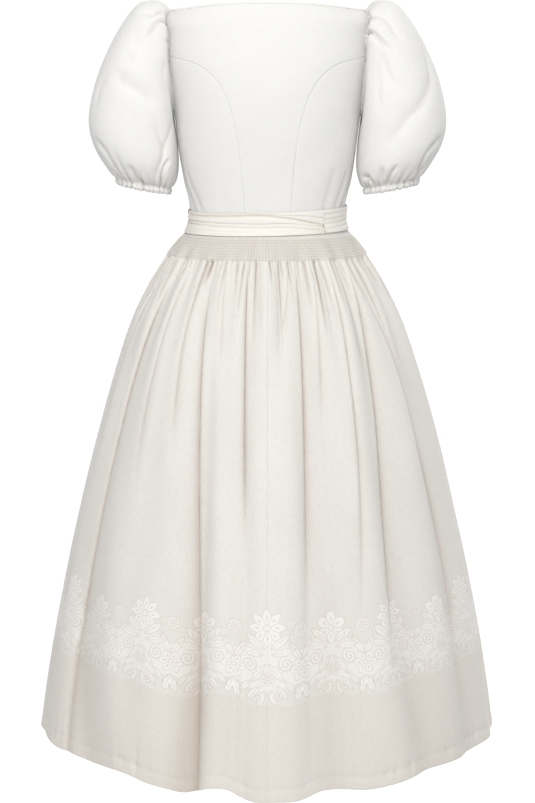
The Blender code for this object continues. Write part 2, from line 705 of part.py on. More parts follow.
def sash_part(name, start, end, columns, shares, lifts):
    angles = np.linspace(start, end, columns + 1)[None, :] + np.zeros((len(shares), 1))
    inset = np.degrees(0.5 * SEAM_GAP / 0.12)
    angles[:, 0] += inset
    angles[:, -1] -= inset
    rise = SASH_RISE * (0.5 - 0.5 * np.sin(np.radians(angles))) ** 2
    share = np.array(shares)[:, None]
    heights = SASH_TOP + (SASH_BOTTOM - SASH_TOP) * share + rise * (1.0 - 0.2 * share)
    face = waist_point(angles, heights)
    normal = outward(waist_point, angles, heights)
    from_front = np.abs((angles % 360.0) - 180.0)
    room = SASH_ROOM + LAP_ROOM * (1.0 - ease((from_front - 12.0) / 20.0))
    inner = face + normal * (SKIRT_CLOTH + room)[..., None]
    swell = np.array(lifts)[:, None] * (0.8 + 0.3 * np.sin(np.radians(2.0 * angles) + 4.0 * share))
    outer = inner + normal * (SASH_CLOTH + swell)[..., None]
    kept_rows = list(range(0, len(shares), 2))
    return wall(name, outer, inner[kept_rows], kept_rows, sash_silk)


fold_shares = [row[0] for row in SASH_FOLDS]
fold_lifts = [row[1] for row in SASH_FOLDS]
sash_part("sash_back", SASH_SEAM_ANGLE, 90.0, 18, fold_shares, fold_lifts)
pleat_shares = np.linspace(0.0, 1.0, 2 * SASH_PLEATS + 1)
pleat_lifts = [0.0008 if number % 2 else 0.0 for number in range(2 * SASH_PLEATS + 1)]
sash_part("sash_front", 90.0, 360.0 + SASH_SEAM_ANGLE, 30, pleat_shares, pleat_lifts)


# Buttons: small covered domes down the front lap.
# distance from the middle as a share of the radius, height as a share of the height
BUTTON_PROFILE = ((0.86, 0.0), (1.0, 0.28), (0.90, 0.62), (0.55, 0.90))
BUTTON_SIDES = 10
for number, height in enumerate(button_heights):
    spot = np.array([180.0]), np.array([height])
    normal = outward(torso_point, *spot)[0]
    base = torso_point(*spot)[0] + normal * (LAP_ROOM + BODICE_CLOTH + BUTTON_ROOM)
    across = np.array([1.0, 0.0, 0.0])
    upward = np.cross(across, normal)
    points = [base]
    for share, lift in BUTTON_PROFILE:
        for side in range(BUTTON_SIDES):
            turn = 2.0 * math.pi * side / BUTTON_SIDES
            flat = across * math.cos(turn) + upward * math.sin(turn)
            points.append(base + flat * share * BUTTON_RADIUS + normal * lift * BUTTON_HEIGHT)
    points.append(base + normal * BUTTON_HEIGHT)
    triangles = []
    for side in range(BUTTON_SIDES):
        after = (side + 1) % BUTTON_SIDES
        triangles.append((0, 1 + side, 1 + after))
        for ring in range(len(BUTTON_PROFILE) - 1):
            low = 1 + ring * BUTTON_SIDES
            high = low + BUTTON_SIDES
            triangles += [(low + side, high + side, high + after), (low + side, high + after, low + after)]
        last = 1 + (len(BUTTON_PROFILE) - 1) * BUTTON_SIDES
        triangles.append((last + side, len(points) - 1, last + after))
    build_mesh("button_" + str(number + 1), points, triangles, bodice_linen)
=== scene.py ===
# %% [markdown]
# # A folk dress, dressed in cloth
#
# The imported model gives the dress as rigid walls: a fitted bodice, two puff sleeves, a
# folded sash and a long skirt smocked at the top. This lesson lays real-looking cloth over
# those walls: the same forms with finer folds, gathers, stitches and weave.
#
# Everything is in metres. Z is up, the front faces -Y and the wearer's left is +X. Angles
# run round the body from the centre back, positive towards the wearer's left.

import math

import bpy
import numpy as np
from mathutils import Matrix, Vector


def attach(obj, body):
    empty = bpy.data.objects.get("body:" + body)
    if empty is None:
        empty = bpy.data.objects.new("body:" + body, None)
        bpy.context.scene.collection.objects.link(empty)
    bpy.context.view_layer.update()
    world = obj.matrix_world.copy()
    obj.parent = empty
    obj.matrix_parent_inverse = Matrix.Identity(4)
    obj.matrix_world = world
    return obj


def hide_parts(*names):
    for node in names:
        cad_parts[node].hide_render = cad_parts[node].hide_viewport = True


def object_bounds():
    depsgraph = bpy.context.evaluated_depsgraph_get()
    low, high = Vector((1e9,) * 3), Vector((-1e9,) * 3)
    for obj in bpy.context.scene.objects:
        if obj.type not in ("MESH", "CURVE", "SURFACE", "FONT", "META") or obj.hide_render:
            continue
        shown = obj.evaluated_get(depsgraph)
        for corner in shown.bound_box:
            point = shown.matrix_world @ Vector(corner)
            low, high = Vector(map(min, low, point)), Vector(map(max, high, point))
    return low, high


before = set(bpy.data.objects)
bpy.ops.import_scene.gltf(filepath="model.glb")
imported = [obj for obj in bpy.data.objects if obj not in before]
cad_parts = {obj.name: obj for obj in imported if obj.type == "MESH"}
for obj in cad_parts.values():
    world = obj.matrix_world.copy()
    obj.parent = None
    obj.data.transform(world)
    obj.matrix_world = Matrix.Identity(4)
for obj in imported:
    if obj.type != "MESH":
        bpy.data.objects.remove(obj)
cad_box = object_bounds()
print("frame loaded:", len(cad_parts), "solids")

# %% [markdown]
# ## Camera
#
# The dress is looked at from behind, from a little above, so that the hem shows as a curve.
# A long lens far away keeps the skirt from looking wider than it is. The camera is made
# first, because every later choice is judged through it.

# %% Camera
CAMERA_DISTANCE = 4.5
CAMERA_RISE = math.radians(8.4)
AIM_HEIGHT = -0.614
LENS = 85.0
SENSOR_HEIGHT = 24.0

camera_data = bpy.data.cameras.new("camera")
camera = bpy.data.objects.new("camera", camera_data)
bpy.context.scene.collection.objects.link(camera)
camera_data.sensor_fit = "VERTICAL"
camera_data.sensor_height = SENSOR_HEIGHT
camera_data.lens = LENS
camera.location = (
    0.0,
    CAMERA_DISTANCE * math.cos(CAMERA_RISE),
    AIM_HEIGHT + CAMERA_DISTANCE * math.sin(CAMERA_RISE),
)
camera.rotation_euler = (math.pi / 2.0 - CAMERA_RISE, 0.0, math.pi)
bpy.context.scene.camera = camera
print("camera at", tuple(round(value, 3) for value in camera.location))

# %% [markdown]
# ## Light
#
# White cloth on a white ground needs soft light that comes mostly from one side, so that
# each fold keeps one light and one shaded flank. A big round area lamp stands for a soft
# window, high and a little to the left of the picture. It is near enough that the light
# fades slightly down the skirt. A pale sky fills the shade: it is darker overhead than at
# the horizon, so the folds keep their depth while the ground stays white. A weak, very wide
# sun from the front keeps the hidden side from going grey.

# %% Light
# share of the way from straight down to straight up, strength
SKY_STOPS = ((0.42, 0.58), (0.49, 1.03), (0.51, 1.03), (0.58, 0.52))
KEY_PLACE = (0.25, 3.15, 1.55)
KEY_SIZE = 2.6
KEY_POWER = 93.0
FILL_STRENGTH = 1.15
FILL_PLACE = (-1.5, -2.5, 1.4)
FILL_WIDTH = math.radians(50.0)

scene = bpy.context.scene
scene.view_settings.view_transform = "Standard"
world = bpy.data.worlds.new("studio")
scene.world = world
world.use_nodes = True
studio = world.node_tree
sky = studio.nodes["Background"]
direction = studio.nodes.new("ShaderNodeTexCoord")
parts = studio.nodes.new("ShaderNodeSeparateXYZ")
half_height = studio.nodes.new("ShaderNodeMath")
half_height.operation = "MULTIPLY_ADD"
half_height.inputs[1].default_value = 0.5
half_height.inputs[2].default_value = 0.5
height_ramp = studio.nodes.new("ShaderNodeValToRGB")
ramp_stops = height_ramp.color_ramp.elements
for place, strength in SKY_STOPS[1:3]:
    ramp_stops.new(place)
for stop, (place, strength) in zip(ramp_stops, SKY_STOPS):
    stop.position = place
    stop.color = (strength, strength, strength, 1.0)
studio.links.new(direction.outputs["Generated"], parts.inputs["Vector"])
studio.links.new(parts.outputs["Z"], half_height.inputs[0])
studio.links.new(half_height.outputs[0], height_ramp.inputs["Fac"])
studio.links.new(height_ramp.outputs["Color"], sky.inputs["Color"])


def aim(lamp, target):
    """Turns a lamp so that it shines towards a point."""
    way = [goal - place for goal, place in zip(target, lamp.location)]
    lean = math.acos(-way[2] / math.sqrt(sum(value * value for value in way)))
    lamp.rotation_euler = (lean, 0.0, math.atan2(-way[0], way[1]))


def add_lamp(name, kind, place, target, strength):
    """A lamp at a place, aimed at a target."""
    light = bpy.data.lights.new(name, kind)
    light.energy = strength
    lamp = bpy.data.objects.new(name, light)
    scene.collection.objects.link(lamp)
    lamp.location = place
    aim(lamp, target)
    return lamp


middle = (0.0, 0.0, AIM_HEIGHT)
window = add_lamp("window", "AREA", KEY_PLACE, middle, KEY_POWER)
window.data.shape = "DISK"
window.data.size = KEY_SIZE
window.data.color = (1.0, 0.995, 0.98)
window.visible_camera = False
front_fill = add_lamp("front_fill", "SUN", FILL_PLACE, middle, FILL_STRENGTH)
front_fill.data.angle = FILL_WIDTH
print("lamps:", window.name, "and", front_fill.name)

# %% [markdown]
# ### Floor
#
# The floor is one big plain square, well below the hem, because the dress hangs on its
# wearer. It is painted pale and glows a little, so that the picture shows no horizon. It
# could simply be white, but then it would throw light up into the folds and flatten them,
# so it is kept out of the light that bounces.

# %% Floor
FLOOR_DROP = 0.30
FLOOR_COLOUR = (0.42, 0.42, 0.415)
FLOOR_GLOW = 0.74
FLOOR_REACH = 60.0
floor_height = cad_box[0][2] - FLOOR_DROP
floor_mesh = bpy.data.meshes.new("floor")
floor_corners = [
    (side_x * FLOOR_REACH, side_y * FLOOR_REACH, floor_height)
    for side_x, side_y in ((-1, -1), (1, -1), (1, 1), (-1, 1))
]
floor_mesh.from_pydata(floor_corners, [], [(0, 1, 2, 3)])
floor = bpy.data.objects.new("floor", floor_mesh)
scene.collection.objects.link(floor)
floor_paint = bpy.data.materials.new("pale_floor")
floor_paint.use_nodes = True
floor_shader = floor_paint.node_tree.nodes["Principled BSDF"]
floor_shader.inputs["Base Color"].default_value = (*FLOOR_COLOUR, 1.0)
floor_shader.inputs["Roughness"].default_value = 0.9
floor_shader.inputs["Emission Color"].default_value = (1.0, 1.0, 1.0, 1.0)
floor_shader.inputs["Emission Strength"].default_value = FLOOR_GLOW
floor_mesh.materials.append(floor_paint)
floor.visible_diffuse = False
print("floor at", round(floor_height, 3))

# %% [markdown]
# ## Cloth materials
#
# Three cloths make the dress. The bodice is a matt linen with fine level slubs, the sash a
# smooth silk with a soft gloss, and the skirt a silky herringbone. All three are painted
# with nodes: stretched noise for slubs, waves for a twill line, and a bump so that the
# thread catches the light. The textures follow the cloth's own flat coordinates, in metres.
# A few helpers come first, so that each cloth can be written in a few lines.

# %% Material helpers
SHEEN_ROUGHNESS = 0.4
SPECULAR = 0.3
PLAIN_SCALE = (1.0, 1.0, 1.0)


def new_material(name, colour, roughness, sheen):
    """A cloth material with one plain colour to start from."""
    made = bpy.data.materials.new(name)
    made.use_nodes = True
    shader = made.node_tree.nodes["Principled BSDF"]
    shader.inputs["Base Color"].default_value = (*colour, 1.0)
    shader.inputs["Roughness"].default_value = roughness
    shader.inputs["Sheen Weight"].default_value = sheen
    shader.inputs["Sheen Roughness"].default_value = SHEEN_ROUGHNESS
    shader.inputs["Specular IOR Level"].default_value = SPECULAR
    return made


def add_node(made, kind, **values):
    """A shader node with some of its input sockets set by name."""
    node = made.node_tree.nodes.new(kind)
    for name, value in values.items():
        node.inputs[name.replace("_", " ")].default_value = value
    return node


def link(made, source, target):
    """Joins the output of one node to an input of another."""
    made.node_tree.links.new(source, target)


def calc(made, operation, *values, clamp=False):
    """A math node on numbers or on the outputs of other nodes."""
    node = made.node_tree.nodes.new("ShaderNodeMath")
    node.operation = operation
    node.use_clamp = clamp
    for number, value in enumerate(values):
        if isinstance(value, (int, float)):
            node.inputs[number].default_value = value
        else:
            link(made, value, node.inputs[number])
    return node.outputs[0]


def flat_coordinates(made, scale=PLAIN_SCALE):
    """The cloth's flat coordinates, stretched by a scale on each axis."""
    place = add_node(made, "ShaderNodeUVMap")
    place.uv_map = "cloth"
    mapping = add_node(made, "ShaderNodeMapping", Scale=scale)
    link(made, place.outputs["UV"], mapping.inputs["Vector"])
    return mapping.outputs["Vector"]


def axes_of(made, vector):
    """The parts of a vector, to be taken by their names X, Y and Z."""
    split = add_node(made, "ShaderNodeSeparateXYZ")
    link(made, vector, split.inputs["Vector"])
    return split.outputs


def streaks(made, scale, detail, roughness=0.5, output="Fac"):
    """Noise that is stretched over the flat cloth."""
    noise = add_node(
        made, "ShaderNodeTexNoise", Scale=1.0, Detail=detail, Roughness=roughness)
    link(made, flat_coordinates(made, scale), noise.inputs["Vector"])
    return noise.outputs[output]


print("material helpers are ready")

# %% [markdown]
# ### Colour and relief
#
# A pattern acts on a cloth in two ways: it moves the colour between a light and a dark one,
# and it tips the surface normal, which is cheaper than real relief for threads thinner than
# a millimetre. In a narrow fold the light bounces from cloth to cloth and comes out darker
# and warmer. Few bounces are traced, so that shade is painted: the meshes carry a mark of
# the narrow folds, and the material paints a darker, warmer shade in those places.

# %% Colour and relief
RAMP_ENDS = (0.3, 0.7)


def blend_colour(made, under, colour, share, way="MIX"):
    """Lays a colour over another by a share from 0 to 1."""
    mix = made.node_tree.nodes.new("ShaderNodeMix")
    mix.data_type = "RGBA"
    mix.blend_type = way
    link(made, share, mix.inputs["Factor"])
    link(made, under, mix.inputs[6])
    mix.inputs[7].default_value = (*colour, 1.0)
    return mix.outputs[2]


def vary_colour(made, pattern, light, dark):
    """Blends between a light and a dark colour by a pattern from 0 to 1."""
    shader = made.node_tree.nodes["Principled BSDF"]
    ramp = add_node(made, "ShaderNodeValToRGB")
    for stop, place, colour in zip(ramp.color_ramp.elements, RAMP_ENDS, (dark, light)):
        stop.position = place
        stop.color = (*colour, 1.0)
    link(made, pattern, ramp.inputs["Fac"])
    link(made, ramp.outputs["Color"], shader.inputs["Base Color"])


def add_bump(made, pattern, distance, before=None):
    """Raises the surface by a pattern; a second bump can be chained after a first."""
    bump = add_node(made, "ShaderNodeBump", Strength=1.0, Distance=distance)
    link(made, pattern, bump.inputs["Height"])
    after = before or made.node_tree.nodes["Principled BSDF"]
    link(made, bump.outputs["Normal"], after.inputs["Normal"])
    return bump


def paint_fold_shade(made, tint):
    """Paints a darker, warmer shade where the mesh marks a narrow fold."""
    shader = made.node_tree.nodes["Principled BSDF"]
    before = shader.inputs["Base Color"].links[0].from_socket
    mark = add_node(made, "ShaderNodeAttribute")
    mark.attribute_name = "fold_shade"
    tinted = blend_colour(made, before, tint, mark.outputs["Fac"], "MULTIPLY")
    link(made, tinted, shader.inputs["Base Color"])


print("colour and relief helpers are ready")

# %% [markdown]
# ### Linen
#
# Linen thread is uneven: here and there a thicker stretch, a slub, runs level across the
# cloth. Noise that is stretched along the weft gives short level streaks, and one set of
# fine waves gives the weave below them.

# %% Linen
LINEN_LIGHT = (0.802, 0.797, 0.782)
LINEN_DARK = (0.768, 0.761, 0.744)
# Painted shade: multiplied into the linen where the mesh marks a narrow fold.
LINEN_FOLD_SHADE = (0.80, 0.74, 0.68)
SLUB_SCALE = (55.0, 900.0, 1.0)
SLUB_HEIGHT = 0.00045
WEFT_SCALE = 330.0
WEFT_HEIGHT = 0.00006


def linen(name):
    """A matt linen with level slubs."""
    made = new_material(name, LINEN_LIGHT, 0.82, 0.15)
    slub = streaks(made, SLUB_SCALE, 3.0, 0.6)
    vary_colour(made, slub, LINEN_LIGHT, LINEN_DARK)
    weft = add_node(made, "ShaderNodeTexWave", Scale=WEFT_SCALE, Distortion=1.5, Detail=1.0)
    weft.bands_direction = "Y"
    link(made, flat_coordinates(made), weft.inputs["Vector"])
    slub_bump = add_bump(made, slub, SLUB_HEIGHT)
    add_bump(made, weft.outputs["Fac"], WEFT_HEIGHT, slub_bump)
    paint_fold_shade(made, LINEN_FOLD_SHADE)
    return made


bodice_linen = linen("bodice_linen")
print("linen is ready")

# %% [markdown]
# ### Sash silk
#
# The sash is smoother and warmer than the linen. A lower roughness gives its broad folds
# their soft highlights, and a very fine level rib keeps it from looking like plastic.

# %% Sash silk
SILK_LIGHT = (0.815, 0.795, 0.755)
SILK_DARK = (0.770, 0.745, 0.695)
# Painted shade: multiplied into the silk in the hollows of the sash's folds.
SILK_FOLD_SHADE = (0.90, 0.85, 0.79)
RIB_SCALE = (30.0, 700.0, 1.0)
RIB_HEIGHT = 0.0002
sash_silk = new_material("sash_silk", SILK_LIGHT, 0.46, 0.10)
fine_rib = streaks(sash_silk, RIB_SCALE, 2.0)
vary_colour(sash_silk, fine_rib, SILK_LIGHT, SILK_DARK)
paint_fold_shade(sash_silk, SILK_FOLD_SHADE)
add_bump(sash_silk, fine_rib, RIB_HEIGHT)
print("silk is ready")

# %% [markdown]
# ### Herringbone
#
# A herringbone is a twill whose slant changes direction every few millimetres. A zigzag of
# the across coordinate, added to the along coordinate, bends straight waves into exactly
# that pattern. The skirt also has slow faint clouds, as washed silk has, and a fine upright
# grain, which still shows from a few steps away when the twill lines are too small to see.

# %% Herringbone
TWILL_LIGHT = (0.802, 0.783, 0.748)
TWILL_DARK = (0.752, 0.729, 0.688)
HERRINGBONE_WIDTH = 0.007
TWILL_PITCH = 0.0016
TWILL_SHARE = 0.16
TWILL_HEIGHT = 0.00008
CLOUD_SCALE = (9.0, 5.0, 1.0)
GRAIN_SCALE = (340.0, 110.0, 1.0)
GRAIN_SHARE = 1.1
GRAIN_HEIGHT = 0.00030


def herringbone(name, light, dark, roughness):
    """A silky twill with zigzag lines, slow clouds and a fine upright grain."""
    made = new_material(name, light, roughness, 0.12)
    flat = axes_of(made, flat_coordinates(made))
    zigzag = calc(made, "PINGPONG", flat["X"], HERRINGBONE_WIDTH)
    slant = calc(made, "ADD", zigzag, flat["Y"])
    line = calc(made, "SINE", calc(made, "MULTIPLY", slant, 2.0 * math.pi / TWILL_PITCH))
    cloud = streaks(made, CLOUD_SCALE, 5.0, 0.65)
    mixed = calc(made, "MULTIPLY_ADD", line, TWILL_SHARE, cloud)
    grain = streaks(made, GRAIN_SCALE, 2.0, 0.6)
    grained = calc(made, "MULTIPLY_ADD", grain, GRAIN_SHARE, mixed)
    centred = calc(made, "SUBTRACT", grained, 0.5 * GRAIN_SHARE)
    vary_colour(made, centred, light, dark)
    grain_bump = add_bump(made, grain, GRAIN_HEIGHT)
    add_bump(made, line, TWILL_HEIGHT, grain_bump)
    return made


skirt_twill = herringbone("skirt_twill", TWILL_LIGHT, TWILL_DARK, 0.56)
print("herringbone is ready")

# %% [markdown]
# ### Woven border
#
# A band of ivory blossoms, leaves and scrolls is woven into the skirt above the hem. It
# could be cut out of thin mesh, but a woven figure lies in the cloth, so it is computed in
# the cloth's own material: each motif is a field that is positive inside its outline. The
# field is cut at zero for the ivory shape and near zero for the darker line round it. One
# unit is drawn, mirrored about its middle, and repeated round the skirt; every second unit
# has a rounder blossom, and a slow noise bends the drawing, so that no two look stamped.

# %% Fields in nodes
EDGE_SOFTNESS = 0.0005


def filled(made, field):
    """1 where a field is positive, with a soft edge."""
    return calc(made, "MULTIPLY_ADD", field, 1.0 / EDGE_SOFTNESS, 0.5, clamp=True)


def lined(made, field, half_width):
    """1 within a half width of the field's zero line."""
    return filled(made, calc(made, "SUBTRACT", half_width, calc(made, "ABSOLUTE", field)))


def either(made, *masks):
    """The highest of several masks."""
    highest = masks[0]
    for mask in masks[1:]:
        highest = calc(made, "MAXIMUM", highest, mask)
    return highest


def both(made, *masks):
    """The lowest of several masks."""
    lowest = masks[0]
    for mask in masks[1:]:
        lowest = calc(made, "MINIMUM", lowest, mask)
    return lowest


print("field helpers are ready")

# %% [markdown]
# ### Motifs
#
# A blossom is a circle whose radius shrinks away from the middle of each petal. A leaf is a
# bulge round a straight rib, and a scroll is a spiral, the distance from its centre with a
# share of the turn added. Each gives two masks: its ivory shape and the dark lines in and
# round it. Sizes inside a motif are shares of its radius.

# %% Motifs
LINE = 0.00070
PETAL_DENT = 0.42
PETAL_GAP_START = 0.20
VEIN_MIDDLE = 0.52
VEIN_TAPER = 0.45
VEIN_WIDTH = 0.0017
HEART = 0.17
TOOTH = 0.22
RIB_END = 0.0008


def polar(made, x, y, centre_x, centre_y):
    """Distance and turn from a centre."""
    right = calc(made, "SUBTRACT", x, centre_x)
    up = calc(made, "SUBTRACT", y, centre_y)
    square = calc(made, "MULTIPLY_ADD", right, right, calc(made, "MULTIPLY", up, up))
    return calc(made, "SQRT", square), calc(made, "ARCTAN2", up, right)


def blossom(made, x, y, centre, radius, half_petal, first, pointed):
    """Petals round a centre: the ivory mask and the mask of its darker lines."""
    distance, turn = polar(made, x, y, *centre)
    turned = calc(made, "ADD", turn, first)
    aside = calc(made, "PINGPONG", turned, half_petal)
    share = calc(made, "DIVIDE", aside, half_petal)
    narrowing = calc(made, "POWER", share, pointed)
    dented = calc(made, "MULTIPLY_ADD", narrowing, -PETAL_DENT, 1.0)
    reach = calc(made, "MULTIPLY", radius, dented)
    field = calc(made, "SUBTRACT", reach, distance)
    from_gap = calc(made, "MULTIPLY", calc(made, "SUBTRACT", half_petal, aside), distance)
    inner = calc(made, "MULTIPLY_ADD", radius, -PETAL_GAP_START, distance)
    gaps = lined(made, from_gap, 0.8 * LINE)
    gaps = both(made, gaps, filled(made, field), filled(made, inner))
    along_petal = calc(made, "MULTIPLY", aside, distance)
    middle_part = calc(made, "MULTIPLY_ADD", radius, -VEIN_MIDDLE, distance)
    from_middle = calc(made, "ABSOLUTE", middle_part)
    drop = calc(made, "MULTIPLY_ADD", from_middle, -VEIN_TAPER, VEIN_WIDTH)
    vein = filled(made, calc(made, "SUBTRACT", drop, along_petal))
    heart = lined(made, calc(made, "MULTIPLY_ADD", radius, -HEART, distance), LINE)
    return filled(made, field), either(made, lined(made, field, LINE), gaps, vein, heart)


def leaf(made, x, y, foot, tip, half_width, teeth=0.0):
    """A pointed leaf with a rib, from a foot to a tip: its ivory and its lines."""
    reach_x = tip[0] - foot[0]
    reach_y = tip[1] - foot[1]
    length = math.hypot(reach_x, reach_y)
    right = calc(made, "SUBTRACT", x, foot[0])
    up = calc(made, "SUBTRACT", y, foot[1])
    scale = 1.0 / (length * length)
    share = calc(made, "MULTIPLY", up, reach_y * scale)
    share = calc(made, "MULTIPLY_ADD", right, reach_x * scale, share)
    away = calc(made, "MULTIPLY", up, reach_x / length)
    away = calc(made, "MULTIPLY_ADD", right, -reach_y / length, away)
    bulge = calc(made, "MULTIPLY", share, calc(made, "SUBTRACT", 1.0, share))
    if teeth:
        wave = calc(made, "SINE", calc(made, "MULTIPLY", share, teeth))
        bulge = calc(made, "MULTIPLY", bulge, calc(made, "MULTIPLY_ADD", wave, TOOTH, 1.0))
    half = calc(made, "MULTIPLY", bulge, 4.0 * half_width)
    field = calc(made, "SUBTRACT", half, calc(made, "ABSOLUTE", away))
    within = filled(made, calc(made, "SUBTRACT", field, RIB_END))
    rib = both(made, lined(made, away, 0.7 * LINE), within)
    return filled(made, field), either(made, lined(made, field, LINE), rib)


def scroll(made, x, y, centre, radius, pitch, sense):
    """A spiral line that curls in to its centre."""
    distance, turn = polar(made, x, y, *centre)
    wound = calc(made, "MULTIPLY_ADD", turn, sense * pitch / (2.0 * math.pi), distance)
    from_line = calc(made, "WRAP", wound, 0.5 * pitch, -0.5 * pitch)
    within = filled(made, calc(made, "SUBTRACT", radius, distance))
    light = both(made, lined(made, from_line, 0.30 * pitch), within)
    edge = calc(made, "SUBTRACT", calc(made, "ABSOLUTE", from_line), 0.36 * pitch)
    return light, both(made, lined(made, edge, 0.7 * LINE), within)


print("motifs: blossom, leaf and scroll")

# %% [markdown]
# ### Border unit
#
# One unit holds a tall blossom over a bush of leaves, small blossoms and scrolls. Its two
# halves mirror each other, so only the distance from its middle counts. The leaves are rows
# of a table, and the blossoms and scrolls are a short list. A wavy ground lies behind them,
# a little darker than the figures.

# %% Border unit
GIRTH_FLAT = 0.30
BORDER_LOW = -1.018
BORDER_UNITS = 20
UNIT = 2.0 * math.pi * GIRTH_FLAT / BORDER_UNITS
HALF = 0.5 * UNIT
# foot and tip as (aside, above the band's foot), half width, teeth
BORDER_LEAVES = (
    ((0.004, 0.080), (0.031, 0.100), 0.0055, 0.0),
    ((0.006, 0.072), (0.040, 0.079), 0.0050, 26.0),
    ((HALF, 0.060), (0.031, 0.089), 0.0045, 0.0),
    ((0.002, 0.060), (0.022, 0.034), 0.0045, 22.0),
    ((0.004, 0.024), (0.012, 0.001), 0.0042, 0.0),
    ((0.012, 0.030), (0.027, 0.010), 0.0042, 0.0),
    ((HALF, 0.032), (0.038, 0.004), 0.0046, 20.0),
    ((0.024, 0.036), (0.037, 0.018), 0.0036, 0.0),
)


def border_masks(made, flat_x, flat_y):
    """Masks of the ivory figures, the ground between them and their dark lines."""
    x = calc(made, "WRAP", flat_x, HALF, -HALF)
    y = calc(made, "SUBTRACT", flat_y, BORDER_LOW)
    number = calc(made, "FLOOR", calc(made, "DIVIDE", calc(made, "ADD", flat_x, HALF), UNIT))
    odd = calc(made, "FLOORED_MODULO", number, 2.0)
    side = calc(made, "ABSOLUTE", x)
    half_petal = calc(made, "MULTIPLY_ADD", odd, math.pi / 24.0, math.pi / 8.0)
    radius = calc(made, "MULTIPLY_ADD", odd, -0.0045, 0.0275)
    first = calc(made, "MULTIPLY", odd, math.pi / 6.0)
    rise = calc(made, "MULTIPLY_ADD", odd, -0.010, 0.110)
    pointed = calc(made, "MULTIPLY_ADD", odd, 1.6, 0.9)
    figures = [
        blossom(made, side, y, (0.0, rise), radius, half_petal, first, pointed),
        blossom(made, side, y, (HALF, 0.050), 0.0170, math.pi / 6.0, 0.0, 1.4),
        blossom(made, side, y, (HALF, 0.104), 0.0105, math.pi / 5.0, 0.3, 2.0),
        blossom(made, side, y, (0.0, 0.040), 0.0125, math.pi / 7.0, 0.0, 1.2),
        scroll(made, side, y, (0.0255, 0.0585), 0.0115, 0.0052, 1.0),
        scroll(made, side, y, (0.0140, 0.0150), 0.0070, 0.0044, -1.0),
    ]
    figures += [leaf(made, side, y, *row) for row in BORDER_LEAVES]
    ivory = either(made, *[figure for figure, lines in figures])
    dark = either(made, *[lines for figure, lines in figures])
    wave = calc(made, "COSINE", calc(made, "MULTIPLY", x, 2.0 * math.pi / UNIT))
    top = calc(made, "SUBTRACT", calc(made, "MULTIPLY_ADD", wave, 0.010, 0.086), y)
    low = calc(made, "SUBTRACT", y, calc(made, "MULTIPLY_ADD", wave, -0.004, 0.026))
    ground = both(made, filled(made, top), filled(made, low))
    return ivory, ground, dark


print("border unit:", round(UNIT, 3), "wide,", BORDER_UNITS, "times round the skirt")

# %% [markdown]
# ### Weave the border in
#
# The masks are laid over the twill one by one: a painted shade that makes the skirt below
# the band darker and warmer, the ivory figures with their paler ground, and last the fine
# lines. The coordinates are bent a little by noise before the motifs see them.

# %% Weave the border in
IVORY = (0.870, 0.856, 0.828)
FIGURE_LINE = (0.520, 0.440, 0.360)
GROUND_SHARE = 0.72
LINE_SHARE = 0.38
BEND = 0.006
BEND_SCALE = (17.0, 23.0, 1.0)
BAND_END = BORDER_LOW + 0.002
# Painted shade: the skirt below the band is painted darker and warmer.
BELOW_BAND_SHADE = (0.690, 0.612, 0.520)
BELOW_SHADE_SHARE = 0.24
# Painted shade: multiplied into the twill in narrow folds, smocked pits and large folds.
TWILL_FOLD_SHADE = (0.62, 0.535, 0.465)
border_place = axes_of(skirt_twill, flat_coordinates(skirt_twill))
bend_place = axes_of(skirt_twill, streaks(skirt_twill, BEND_SCALE, 1.0, output="Color"))
bent = []
for axis in ("X", "Y"):
    shift = calc(skirt_twill, "SUBTRACT", bend_place[axis], 0.5)
    bent.append(calc(skirt_twill, "MULTIPLY_ADD", shift, BEND, border_place[axis]))
ivory_mask, ground_mask, line_mask = border_masks(skirt_twill, *bent)
ground_share = calc(skirt_twill, "MULTIPLY", ground_mask, GROUND_SHARE)
light_share = either(skirt_twill, ivory_mask, ground_share)
below_band = filled(skirt_twill, calc(skirt_twill, "SUBTRACT", BAND_END, border_place["Y"]))
below_shade = calc(skirt_twill, "MULTIPLY", below_band, BELOW_SHADE_SHARE)
fine_lines = calc(skirt_twill, "MULTIPLY", line_mask, LINE_SHARE)
twill_colour = skirt_twill.node_tree.nodes["Principled BSDF"].inputs["Base Color"]
colour = twill_colour.links[0].from_socket
for over, share in (
    (BELOW_BAND_SHADE, below_shade),
    (IVORY, light_share),
    (FIGURE_LINE, fine_lines),
):
    colour = blend_colour(skirt_twill, colour, over, share)
link(skirt_twill, colour, twill_colour)
# The painted shade in the folds goes on last.
paint_fold_shade(skirt_twill, TWILL_FOLD_SHADE)
print("border units:", BORDER_UNITS, "nodes:", len(skirt_twill.node_tree.nodes))

# %% [markdown]
# ## The body under the cloth
#
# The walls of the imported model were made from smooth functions: a half width and two depths
# for each height, with a rounded section between. The cloth uses the same functions, so it
# lies exactly on the walls, and can be sampled as finely as its folds need.

# %% Smooth tables


def curve_through(rows):
    """A smooth function of the first column that passes through every row."""
    rows = np.array(rows, dtype=float)
    rows = rows[np.argsort(rows[:, 0])]
    keys = rows[:, 0]
    values = rows[:, 1:]
    slopes = np.gradient(values, keys, axis=0)

    def value(key):
        key = np.clip(np.asarray(key, dtype=float), keys[0], keys[-1])
        low = np.clip(np.searchsorted(keys, key) - 1, 0, len(keys) - 2)
        span = (keys[low + 1] - keys[low])[..., None]
        step = (key - keys[low])[..., None] / span
        rest = 1.0 - step
        start = values[low] * (1.0 + 2.0 * step) * rest ** 2
        end = values[low + 1] * (3.0 - 2.0 * step) * step ** 2
        bend = slopes[low] * step * rest ** 2 - slopes[low + 1] * rest * step ** 2
        return start + end + bend * span

    return value


